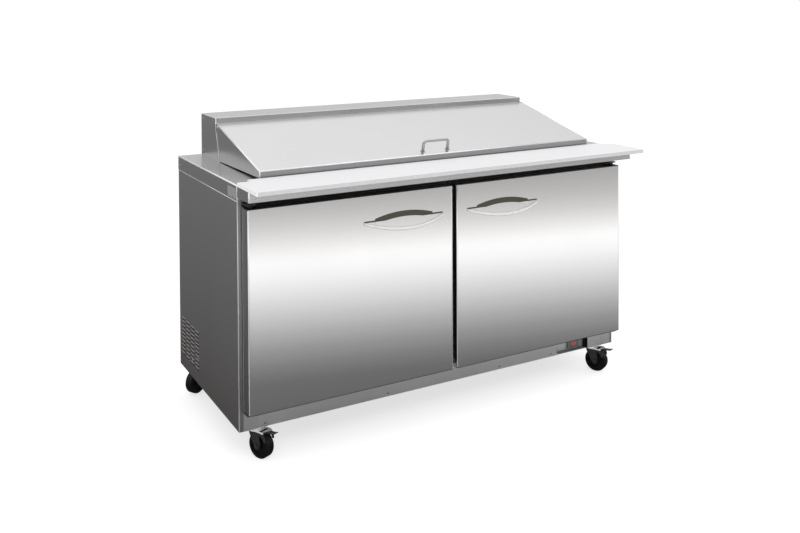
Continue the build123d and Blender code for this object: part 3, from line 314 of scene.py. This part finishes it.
MATS = {
    "brushed_skin": brushed("brushed_skin", (0.54, 0.54, 0.545), 0.30, "z", 0.5, 0.02, 0.04),
    "brushed_top": brushed("brushed_top", (0.60, 0.60, 0.605), 0.25, "x", 0.5, 0.02, 0.04),
    "polished_door": brushed("polished_door", (0.70, 0.70, 0.70), 0.12, "z", 0.35, 0.012, 0.02, 0.015),
    "galvanised": galvanised(),
    "black_plastic": plastic("black_plastic", (0.012, 0.012, 0.013), 0.4),
    "key_grey": plastic("key_grey", (0.26, 0.27, 0.28), 0.5),
    "foam": foam(),
    "liner_aluminium": brushed("liner_aluminium", (0.78, 0.79, 0.80), 0.36, "x", 0.3, 0.03, 0.05),
    "liner_white": plastic("liner_white", (0.80, 0.81, 0.81), 0.35, 0.1, 500, 0.12, mottle=0.015),
    "pan_steel": brushed("pan_steel", (0.68, 0.68, 0.69), 0.26, "x", 0.4, 0.03, 0.05),
    "board_white": board(),
    "polished_steel": brushed("polished_steel", (0.46, 0.46, 0.465), 0.18, "x", 0.0, 0.02, 0.03),
    "satin_handle": handle_metal(),
    "gasket": rubber("gasket", (0.014, 0.014, 0.015), 0.55),
    "zinc": zinc(),
    "shelf_coating": plastic("shelf_coating", (0.72, 0.73, 0.73), 0.32, 0.08, 600, 0.1, coat=0.3),
    "coil_aluminium": brushed("coil_aluminium", (0.74, 0.75, 0.76), 0.38, "z", 0.3, 0.04, 0.06),
    "fan_plastic": plastic("fan_plastic", (0.022, 0.022, 0.024), 0.42),
    "motor_metal": enamel("motor_metal", (0.18, 0.19, 0.20), 0.4, 0.2),
    "compressor_black": enamel("compressor_black", (0.012, 0.012, 0.012), 0.22, 0.8),
    "copper": copper(),
    "cord_rubber": rubber("cord_rubber", (0.02, 0.02, 0.02), 0.5),
    "wheel_rubber": rubber("wheel_rubber", (0.0035, 0.0035, 0.0035), 0.5, 0.004, 0.22),
}
OWN = {
    # door liners: the end caps round the skin are black, the inner face is white
    "door_liner": split_by_place("door_liner_caps", MATS["liner_white"], ((0.012, 0.012, 0.013), 0.5, 0.0), [("y", "<", -0.2642)]),
    # pulls: the backing arch and the line over each foot are dark bronze-grey
    "door_handle": split_by_place("handle_two_tone", MATS["satin_handle"], ((0.085, 0.075, 0.062), 0.38, 0.6), [("y", ">", -0.3155), ("z", ">", 0.7332)]),
    # painted shade: below the crown the fork is painted near-black as the shade under the cabinet; the crown keeps
    # bright zinc
    "fork": split_by_place("fork_painted_shade_below_crown", zinc("zinc_fork", (0.84, 0.84, 0.84), (0.94, 0.94, 0.94), 0.34, 0.5, 0.2), ((0.05, 0.05, 0.052), 0.4, 0.5), [("z", "<", 0.0885)]),
    "plates": zinc("zinc_plate", (0.86, 0.86, 0.86), (0.95, 0.95, 0.95), 0.34, 0.5, 0.2),
    # brackets: the corner face plates match the kick strip; the arms that hold the pins sit in the gap under the door
    # and are painted black as that gap's shade
    "hinges": split_by_place("bracket_painted_shade", brushed("brushed_bracket", (0.80, 0.80, 0.805), 0.33, "x", 0.5, 0.02, 0.04), ((0.02, 0.02, 0.022), 0.45, 0.0), [("z", ">", 0.1685)]),
    "pedal": split_by_place("pedal_two_tone", zinc("zinc_pedal", (0.62, 0.62, 0.62), (0.75, 0.75, 0.75), 0.3, 0.45, 0.4), ((0.03, 0.03, 0.03), 0.5, 0.0), [("y", "<", -0.2602)]),
    "controller": plastic("controller_grey", (0.125, 0.14, 0.138), 0.4, 0.1, 600, 0.15),
    # painted shade: the door's returned side is painted darker than its face, and painted black where it meets the seal
    # as the shade of that gap
    "door_skin": split_by_place("door_skin_heel", split_by_place("door_skin_side", MATS["polished_door"], ((0.30, 0.30, 0.305), 0.4, 1.0), [("absx", ">", 0.7632)]),
                                ((0.012, 0.012, 0.013), 0.5, 0.0), [("y", ">", -0.2685)]),
    # painted shade: the lid's front lip leans under and is painted darker; foam seen through a slot is painted
    # near-black as the shade inside the slot
    "lid_shell": split_by_place("lid_lip_painted_shade", MATS["brushed_top"], ((0.34, 0.34, 0.345), 0.32, 1.0), [("y", "<", -0.2118)]),
    "insulation": split_by_place("foam_painted_shade_behind_slots", MATS["foam"], ((0.03, 0.03, 0.03), 0.7, 0.0), [("absx", ">", 0.70)]),
    "lid_foam": plastic("lid_edge_seal", (0.30, 0.30, 0.30), 0.5, 0.1, 500, 0.15),
    # painted shade: the board's front edge faces away from the light from above and is painted greyer than its face
    "board": split_by_place("board_front_painted_shade", MATS["board_white"], ((0.56, 0.56, 0.57), 0.5, 0.0), [("y", "<", -0.4321)]),
    "kick": brushed("brushed_kick", (0.86, 0.86, 0.865), 0.33, "x", 0.5, 0.02, 0.04),
    # painted shade: past x 640.5 mm the tray is painted black as the shade of the gap beside the bracket box
    "tray": split_by_place("tray_grey_painted_shade_strip", plastic("tray", (0.26, 0.285, 0.28), 0.45, 0.1, 600, 0.1), ((0.006, 0.006, 0.006), 0.6, 0.0), [("x", ">", 0.6405)]),
}
for name, ob in nodes.items():
    ob.data.materials.clear()
    mat = MATS[slot_of[name]]
    if name.endswith("door_liner"):
        mat = OWN["door_liner"]
    elif name.endswith("door_handle"):
        mat = OWN["door_handle"]
    elif name.startswith("caster_fork"):
        mat = OWN["fork"]
    elif name == "door_hinge_brackets":
        mat = OWN["hinges"]
    elif name == "caster_plates":
        mat = OWN["plates"]
    elif name.startswith("brake_pedal"):
        mat = OWN["pedal"]
    elif name == "kick_panel":
        mat = OWN["kick"]
    elif name == "control_panel":
        mat = OWN["tray"]
    elif name.endswith("door_skin"):
        mat = OWN["door_skin"]
    elif name in ("lid_shell", "insulation", "lid_foam"):
        mat = OWN[name]
    elif name == "cutting_board":
        mat = OWN["board"]
    elif name == "thermostat":
        mat = OWN["controller"]
    ob.data.materials.append(mat)
    if name.endswith("door_handle"):
        ob.visible_glossy = False        # keeps its back out of the polished door


# --------------------------------------------------------------------------
# pieces added round the frame.  W takes cabinet millimetres to the shared frame.
# --------------------------------------------------------------------------
def W(x, y, z):
    return Vector((x / 1000.0, (y - 253.0) / 1000.0, (z - 22.0) / 1000.0))


def mesh_piece(name, verts, faces, mat, body, slot=None, smooth=True):
    me = bpy.data.meshes.new(name)
    me.from_pydata([tuple(v) for v in verts], [], faces)
    me.validate()
    bm = bmesh.new()
    bm.from_mesh(me)
    bmesh.ops.recalc_face_normals(bm, faces=bm.faces)
    bm.to_mesh(me)
    bm.free()
    for poly in me.polygons:
        poly.use_smooth = smooth
    ob = bpy.data.objects.new(name, me)
    scene.collection.objects.link(ob)
    me.materials.append(mat)
    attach(ob, body)
    return ob


def tube_data(pts, r, n=10):
    """A closed round bar along a polyline, mitred at its corners."""
    pts = [Vector(p) for p in pts]
    verts, faces = [], []
    seed = None
    for i, p in enumerate(pts):
        d0 = (p - pts[i - 1]).normalized() if i else (pts[1] - p).normalized()
        d1 = (pts[i + 1] - p).normalized() if i < len(pts) - 1 else d0
        t = (d0 + d1).normalized()
        if seed is None:
            seed = Vector((0, 0, 1)) if abs(t.z) < 0.9 else Vector((1, 0, 0))
        a = (seed - t * seed.dot(t)).normalized()
        b = t.cross(a)
        seed = a
        k = 1.0 / max(0.5, t.dot(d0))
        side = t.cross(d0)
        for j in range(n):
            ang = 2 * math.pi * j / n
            v = a * math.cos(ang) * r + b * math.sin(ang) * r
            if side.length > 1e-6:
                w = side.normalized().cross(t)
                v += w * v.dot(w) * (k - 1)
            verts.append(p + v)
    for i in range(len(pts) - 1):
        for j in range(n):
            q = (j + 1) % n
            faces.append((i * n + j, i * n + q, (i + 1) * n + q, (i + 1) * n + j))
    faces.append(tuple(range(n))[::-1])
    faces.append(tuple(range((len(pts) - 1) * n, len(pts) * n)))
    return verts, faces


def join_data(parts):
    verts, faces = [], []
    for v, f in parts:
        o = len(verts)
        verts += v
        faces += [tuple(i + o for i in q) for q in f]
    return verts, faces


# fold beads: brighter finishes than the sheets they sit on, a painted highlight along each fold
fold = brushed("fold_edge_painted_highlight", (0.93, 0.93, 0.93), 0.30, "x", 0.0, 0.03, 0.05, metallic=0.5)
fold_mid = brushed("fold_edge_side_painted_highlight", (0.58, 0.58, 0.585), 0.32, "z", 0.0, 0.03, 0.05, metallic=0.5)
A = 0.2370                      # slope of the lid's top skin
ca, sa = math.cos(A), math.sin(A)
lid_edges = []
for sx in (-1, 1):
    x = sx * (686.3 - 1.2)
    lid_edges.append(tube_data([W(x, 41.2, 922.6), W(x, 41.2, 942.9), W(x, 41.2 + 424 * ca, 942.9 + 424 * sa)], 0.0026))
lid_edges.append(tube_data([W(-685.0, 41.2, 942.9), W(685.0, 41.2, 942.9)], 0.0025))
mesh_piece("lid_folded_edges", *join_data(lid_edges), fold, "hood_lid", "brushed_top")
hood_edges = []
for sx in (-1, 1):
    x = sx * (688 - 1.0)
    hood_edges.append(tube_data([W(x, 443.0, 915.0), W(x, 484.0, 1031.0), W(x, 484.4, 1068.4), W(x, 653.6, 1068.6), W(x, 654.0, 915.0)], 0.0016))
mesh_piece("hood_folded_edges", *join_data(hood_edges), fold, "cabinet", "brushed_top")
top_edges, side_edges = [], []
for sx in (-1, 1):
    x = sx * (777 - 1.5)
    top_edges.append(tube_data([W(x, 1.5, 863.0), W(x, 1.5, 912.4), W(x, 658.4, 912.4), W(x, 658.4, 863.0)], 0.0027))
    xs = sx * (777 - 0.4)
    top_edges.append(tube_data([W(xs, 1.2, 862.0), W(xs, 658.8, 862.0)], 0.0011))
    xc = sx * (777 - 1.8)
    top_edges.append(tube_data([W(xc, -104.0, 878.0), W(xc, -104.0, 909.6)], 0.0028))
    side_edges.append(tube_data([W(sx * (777 - 2.0), 2.0, 128.0), W(sx * (777 - 2.0), 2.0, 861.0)], 0.0024))
top_edges.append(tube_data([W(-775, 658.4, 912.4), W(775, 658.4, 912.4)], 0.0019))
mesh_piece("cabinet_folded_edges", *join_data(top_edges), fold, "cabinet", "brushed_top")
mesh_piece("side_folded_edges", *join_data(side_edges), fold_mid, "cabinet", "brushed_skin")
# the door's edge beads are painted brighter than the door face: painted highlight
fold_door = brushed("fold_edge_door", (0.86, 0.86, 0.86), 0.26, "z", 0.0, 0.02, 0.04, metallic=0.5)
for sx, nm in ((-1, "left"), (1, "right")):
    data = [tube_data([W(sx * x, -58 + 3.2, 200.0), W(sx * x, -58 + 3.2, 842.0)], 0.0025) for x in (764 - 3.2, 8 + 3.2)]
    mesh_piece("door_folded_edges_" + nm, *join_data(data), fold_door, "door_" + nm, "polished_door")


def blister(c, half_l, half_h, out, sx, n=12, m=6):
    """One pressed louvre: a low shell standing off the side skin, closed behind."""
    verts, faces = [], []
    for i in range(n + 1):
        t = -1 + 2 * i / n
        for j in range(m + 1):
            q = j / m
            p = out * max(0.0, 1 - t ** 4) ** 0.5 * math.sin(math.pi * q) ** 0.8 if 0 < j < m and 0 < i < n else -0.3
            z = half_h * (2 * q - 1) + (0.9 if 0 < q < 1 else 0.0)
            verts.append(W(sx * (777.0 + p), c[0] + half_l * t, c[1] + z))
    for i in range(n):
        for j in range(m):
            a = i * (m + 1) + j
            faces.append((a, a + 1, a + m + 2, a + m + 1))
    rim = [j for j in range(m + 1)] + [i * (m + 1) + m for i in range(1, n + 1)] + [n * (m + 1) + j for j in range(m - 1, -1, -1)] + [i * (m + 1) for i in range(n - 1, 0, -1)]
    faces.append(tuple(rim))
    return verts, faces


for sx, nm in ((-1, "left"), (1, "right")):
    data = []
    for col in range(4):
        for row in range(10):
            data.append(blister((612.0 - 56.0 * col, 306.0 - 14.4 * row + 5.0), 20.0, 2.6, 2.2, sx))
    # painted shade: the pressed louvres are painted darker than the side skin they are pressed from
    mesh_piece("side_louvres_" + nm, *join_data(data), brushed("louvre_painted_shade_" + nm, (0.34, 0.335, 0.33), 0.36, "y", 0.2, 0.02, 0.04), "cabinet", "brushed_skin")


def plate(name, x0, x1, y0, y1, z0, z1, r, mat, body, axis="y", seg=4):
    """A thin plate with rounded corners and an eased front edge, thick along axis."""
    def ring(inset, depth):
        out = []
        rr = max(0.0002, r - inset)
        for cx, cy, a0 in ((1, 1, 0), (-1, 1, 90), (-1, -1, 180), (1, -1, 270)):
            for i in range(seg + 1):
                ang = math.radians(a0 + 90 * i / seg)
                out.append((cx * (hw - inset - rr) + rr * math.cos(ang), cy * (hh - inset - rr) + rr * math.sin(ang), depth))
        return out
    if axis == "y":
        hw, hh, cu, cv = (x1 - x0) / 2, (z1 - z0) / 2, (x0 + x1) / 2, (z0 + z1) / 2
        f = lambda u, v, d: W(cu + u, y1 - d * (y1 - y0), cv + v)
    else:
        hw, hh, cu, cv = (y1 - y0) / 2, (z1 - z0) / 2, (y0 + y1) / 2, (z0 + z1) / 2
        f = lambda u, v, d: W((x1 - d * (x1 - x0)), cu + u, cv + v)
    ease = min(hw, hh) * 0.06
    rings = [ring(0, 0.0), ring(0, 0.6), ring(ease * 0.4, 0.9), ring(ease, 1.0)]
    verts = [f(*q) for g in rings for q in g]
    n = len(rings[0])
    faces = []
    for k in range(len(rings) - 1):
        for i in range(n):
            q = (i + 1) % n
            faces.append((k * n + i, k * n + q, (k + 1) * n + q, (k + 1) * n + i))
    faces.append(tuple(range(n))[::-1])
    faces.append(tuple(range((len(rings) - 1) * n, len(rings) * n)))
    return mesh_piece(name, verts, faces, mat, body, smooth=False)


# hinge plate at each front end of the worktop's apron, under the three screws
for sx, nm in ((-1, "left"), (1, "right")):
    a, b = (-777.0, -777.9) if sx < 0 else (777.0, 777.9)
    plate("apron_bracket_" + nm, a, b, 3.5, 88.0, 868.0, 902.0, 2.0, brushed("bracket_steel_" + nm, (0.62, 0.61, 0.60), 0.34, "z", 0.2, 0.03, 0.05, metallic=0.75), "cabinet", axis="x")

# what sits on the control tray: a blank label, the display's dark glass and its digits
label = plastic("label_blank", (0.40, 0.43, 0.42), 0.5, 0.08, 500, 0.05)
plate("control_label", 507.0, 553.0, 15.8, 14.9, 136.0, 174.0, 1.5, label, "cabinet")
glass = enamel("display_glass", (0.15, 0.125, 0.12), 0.22, 0.5)
plate("display_window", 571.4, 610.6, 11.0, 10.2, 142.4, 165.6, 1.0, glass, "cabinet")
led, lt, le = None, None, None
led = bpy.data.materials.new("display_led")
led.use_nodes = True
lb = led.node_tree.nodes["Principled BSDF"]
lb.inputs["Base Color"].default_value = (0.5, 0.02, 0.01, 1)
lb.inputs["Emission Color"].default_value = (0.9, 0.16, 0.10, 1)
nz = led.node_tree.nodes.new("ShaderNodeTexNoise")
nz.inputs["Scale"].default_value = 900.0
tc0 = led.node_tree.nodes.new("ShaderNodeTexCoord")
led.node_tree.links.new(tc0.outputs["Object"], nz.inputs["Vector"])
mr0 = led.node_tree.nodes.new("ShaderNodeMapRange")
mr0.inputs[3].default_value, mr0.inputs[4].default_value = 0.18, 0.34
led.node_tree.links.new(nz.outputs["Fac"], mr0.inputs[0])
led.node_tree.links.new(mr0.outputs[0], lb.inputs["Emission Strength"])
SEG = {"3": "abgcd", "8": "abcdefg"}
segs = []


def bar(x0, x1, z0, z1):
    v = [W(x, y, z) for y in (9.7, 10.1) for x, z in ((x0, z0), (x1, z0), (x1, z1), (x0, z1))]
    return v, [(0, 1, 2, 3), (7, 6, 5, 4), (0, 4, 5, 1), (1, 5, 6, 2), (2, 6, 7, 3), (3, 7, 4, 0)]


for k, ch in enumerate("38"):
    ox, oz, w, h, t = 580.5 + 12.0 * k, 147.6, 8.4, 13.0, 2.0
    place = {"a": (ox, ox + w, oz + h - t, oz + h), "d": (ox, ox + w, oz, oz + t), "g": (ox, ox + w, oz + h / 2 - t / 2, oz + h / 2 + t / 2),
             "b": (ox + w - t, ox + w, oz + h / 2 + t * 0.6, oz + h - t * 1.1), "c": (ox + w - t, ox + w, oz + t * 1.1, oz + h / 2 - t * 0.6),
             "f": (ox, ox + t, oz + h / 2 + t * 0.6, oz + h - t * 1.1), "e": (ox, ox + t, oz + t * 1.1, oz + h / 2 - t * 0.6)}
    for q in SEG[ch]:
        segs.append(bar(*place[q]))
mesh_piece("display_digits", *join_data(segs), led, "cabinet", smooth=False)


# --------------------------------------------------------------------------
# stage: floor, lights, camera
# --------------------------------------------------------------------------
def emitter(name, strength_nodes=None, color=(1, 1, 1), strength=1.0):
    m = bpy.data.materials.new(name)
    m.use_nodes = True
    t = m.node_tree
    t.nodes.clear()
    out = t.nodes.new("ShaderNodeOutputMaterial")
    e = t.nodes.new("ShaderNodeEmission")
    e.inputs[0].default_value = (*color, 1)
    e.inputs[1].default_value = strength
    t.links.new(e.outputs[0], out.inputs[0])
    return m, t, e


def plane(name, size, loc=(0, 0, 0)):
    bm = bmesh.new()
    bmesh.ops.create_grid(bm, x_segments=1, y_segments=1, size=size / 2)
    me = bpy.data.meshes.new(name)
    bm.to_mesh(me)
    bm.free()
    ob = bpy.data.objects.new(name, me)
    ob.location = loc
    scene.collection.objects.link(ob)
    return ob


floor = plane("floor", 60.0)
fm = bpy.data.materials.new("floor")
fm.use_nodes = True
b = fm.node_tree.nodes["Principled BSDF"]
b.inputs["Base Color"].default_value = (0.55, 0.55, 0.55, 1)
b.inputs["Emission Color"].default_value = (1, 1, 1, 1)
b.inputs["Emission Strength"].default_value = 0.68
b.inputs["Roughness"].default_value = 0.6
b.inputs["Specular IOR Level"].default_value = 0.2
floor.data.materials.append(fm)
floor.visible_glossy = False

# what polished sheet mirrors: a card just over the floor that only reflections see
card = plane("mirror_card", 40.0, (0, 0, 0.002))
cm, ct, ce = emitter("mirror_card")
N = ct.nodes
L = ct.links
tc = N.new("ShaderNodeTexCoord")
sp = N.new("ShaderNodeSeparateXYZ")
L.new(tc.outputs["Object"], sp.inputs[0])


def ramp(points, src, lo, hi):
    """Piecewise ramp of src between lo and hi; points are (position in src units, grey)."""
    r = N.new("ShaderNodeMapRange")
    r.inputs[1].default_value, r.inputs[2].default_value = lo, hi
    L.new(src, r.inputs[0])
    c = N.new("ShaderNodeValToRGB")
    c.color_ramp.interpolation = "EASE"
    e = c.color_ramp.elements
    while len(e) > 1:
        e.remove(e[-1])
    first = True
    for p, g in points:
        q = (p - lo) / (hi - lo)
        col = (*g, 1) if isinstance(g, tuple) else (g, g, g, 1)
        if first:
            e[0].position, e[0].color = q, col
            first = False
        else:
            x = e.new(q)
            x.color = col
    L.new(r.outputs[0], c.inputs[0])
    return c.outputs[0]


def m2(op, a, b=None):
    q = N.new("ShaderNodeMath"); q.operation = op
    for k, x in enumerate((a, b)):
        if x is None:
            continue
        if isinstance(x, bpy.types.NodeSocket):
            L.new(x, q.inputs[k])
        else:
            q.inputs[k].default_value = x
    return q.outputs[0]


# distance out from the doors' faces, sheared a little towards the right
dist = m2("ADD", m2("MULTIPLY", sp.outputs[1], -1.0), -0.311)
u = m2("ADD", dist, m2("MULTIPLY", sp.outputs[0], 0.24))
warm = lambda g: (g * 1.025, g, g * 0.985)
front = ramp([(0.0, 0.16), (0.47, 0.20), (0.61, 0.275), (0.78, 0.39), (0.966, 0.55), (1.17, 0.74), (1.40, 0.95), (1.635, 1.15), (1.91, 1.36), (2.21, 1.50),
              (2.57, warm(1.15)), (2.96, warm(0.88)), (3.42, warm(0.71)), (3.9, warm(0.62)), (5.0, warm(0.54)), (8.0, (0.47, 0.46, 0.455))], u, 0.0, 12.0)
# beside and behind: distance out from the side skins
sd = m2("ADD", m2("ABSOLUTE", sp.outputs[0]), -0.777)
side = ramp([(0.0, (0.082, 0.076, 0.073)), (0.08, (0.096, 0.09, 0.087)), (0.19, (0.122, 0.116, 0.114)), (0.40, (0.158, 0.153, 0.152)), (0.70, (0.187, 0.184, 0.186)), (1.1, 0.205), (1.6, 0.215), (3.0, 0.235), (12.0, 0.28)], sd, 0.0, 12.0)
sw = N.new("ShaderNodeMapRange"); sw.inputs[1].default_value = -0.05; sw.inputs[2].default_value = 0.25
L.new(dist, sw.inputs[0])
far = N.new("ShaderNodeMapRange"); far.inputs[1].default_value = 3.75; far.inputs[2].default_value = 3.95
L.new(dist, far.inputs[0])
east = N.new("ShaderNodeMapRange"); east.inputs[1].default_value = 0.5; east.inputs[2].default_value = 4.0; east.inputs[3].default_value = 0.45; east.inputs[4].default_value = 0.85
L.new(sp.outputs[0], east.inputs[0])
dim = m2("MULTIPLY", far.outputs[0], east.outputs[0])
fd = N.new("ShaderNodeMix"); fd.data_type = "RGBA"
fd.inputs[7].default_value = (0.08, 0.08, 0.08, 1)
L.new(dim, fd.inputs[0]); L.new(front, fd.inputs[6])
front = fd.outputs[2]
mx = N.new("ShaderNodeMix"); mx.data_type = "RGBA"
L.new(sw.outputs[0], mx.inputs[0])
L.new(side, mx.inputs[6])
L.new(front, mx.inputs[7])
L.new(mx.outputs[2], ce.inputs[0])
ce.inputs[1].default_value = 1.0
card.data.materials.append(cm)
card.visible_camera = card.visible_diffuse = card.visible_shadow = card.visible_transmission = card.visible_volume_scatter = False

# world: white to the camera, soft grey to diffuse light, a height gradient to reflections
w = bpy.data.worlds.new("studio")
scene.world = w
w.use_nodes = True
t = w.node_tree
t.nodes.clear()
N, L = t.nodes, t.links
out = N.new("ShaderNodeOutputWorld")
lp = N.new("ShaderNodeLightPath")
geo = N.new("ShaderNodeNewGeometry")
sp = N.new("ShaderNodeSeparateXYZ")
L.new(geo.outputs["Incoming"], sp.inputs[0])
up = N.new("ShaderNodeMath"); up.operation = "MULTIPLY"; up.inputs[1].default_value = -1.0
L.new(sp.outputs[2], up.inputs[0])
sky = ramp([(-0.2, 0.42), (0.0, 0.72), (0.06, 1.05), (0.13, 1.05), (0.18, 0.50), (0.30, 0.44), (0.42, 0.85), (0.50, 1.25), (0.75, 1.35), (1.0, 1.3)], up.outputs[0], -1.0, 1.0)
soft = ramp([(-0.2, 0.55), (0.0, 0.60), (0.5, 0.85), (1.0, 1.05)], up.outputs[0], -1.0, 1.0)


def bg(col, s):
    x = N.new("ShaderNodeBackground")
    if isinstance(col, tuple):
        x.inputs[0].default_value = (*col, 1)
    else:
        L.new(col, x.inputs[0])
    x.inputs[1].default_value = s
    return x.outputs[0]


m1 = N.new("ShaderNodeMixShader"); m2 = N.new("ShaderNodeMixShader")
L.new(lp.outputs["Is Glossy Ray"], m1.inputs[0])
L.new(bg(soft, 0.80), m1.inputs[1])
L.new(bg(sky, 1.0), m1.inputs[2])
L.new(lp.outputs["Is Camera Ray"], m2.inputs[0])
L.new(m1.outputs[0], m2.inputs[1])
L.new(bg((1.0, 1.0, 1.0), 1.0), m2.inputs[2])
L.new(m2.outputs[0], out.inputs[0])


def area(name, loc, target, size, power, glossy=True):
    d = bpy.data.lights.new(name, "AREA")
    d.shape = "RECTANGLE"
    d.size, d.size_y = size
    d.energy = power
    o = bpy.data.objects.new(name, d)
    o.location = loc
    o.rotation_mode = "QUATERNION"
    o.rotation_quaternion = (Vector(target) - Vector(loc)).to_track_quat("-Z", "Y")
    o.visible_glossy = glossy
    scene.collection.objects.link(o)
    return o


area("key", (-1.2, -3.4, 3.6), (0, 0, 0.6), (3.5, 2.0), 55, False)
area("fill", (3.6, -1.6, 2.6), (0, 0, 0.6), (2.5, 2.0), 22, False)

# camera: fitted to the photograph, with the frame shifted down from the lens axis
RIGHT = Vector((0.872002, -0.489472, -0.005400))
UP = Vector((0.014872, 0.015465, 0.999770))
FWD = Vector((0.489276, 0.871882, -0.020765))
cam_data = bpy.data.cameras.new("camera")
cam = bpy.data.objects.new("camera", cam_data)
scene.collection.objects.link(cam)
cam.matrix_world = Matrix(((RIGHT.x, UP.x, -FWD.x, -1.743616), (RIGHT.y, UP.y, -FWD.y, -2.779112 - 0.253), (RIGHT.z, UP.z, -FWD.z, 1.470101), (0, 0, 0, 1)))
cam_data.sensor_width = 36
cam_data.lens = 922.3161 * 36 / 800
SHIFT = -(266.5 - 20.57) / 800
# the shift belongs to this one viewpoint: from anywhere else the lens is centred
fc = cam_data.driver_add("shift_y")
drv = fc.driver
drv.type = "SCRIPTED"
for ax, nm in (("LOC_X", "vx"), ("LOC_Z", "vz")):
    v = drv.variables.new()
    v.name = nm
    v.type = "TRANSFORMS"
    v.targets[0].id = cam
    v.targets[0].transform_type = ax
    v.targets[0].transform_space = "WORLD_SPACE"
drv.expression = "%.6f if abs(vx + 1.743616) < 0.0005 and abs(vz - 1.470101) < 0.0005 else 0.0" % SHIFT
scene.camera = cam

scene.view_settings.view_transform = "Standard"
scene.view_settings.look = "None"
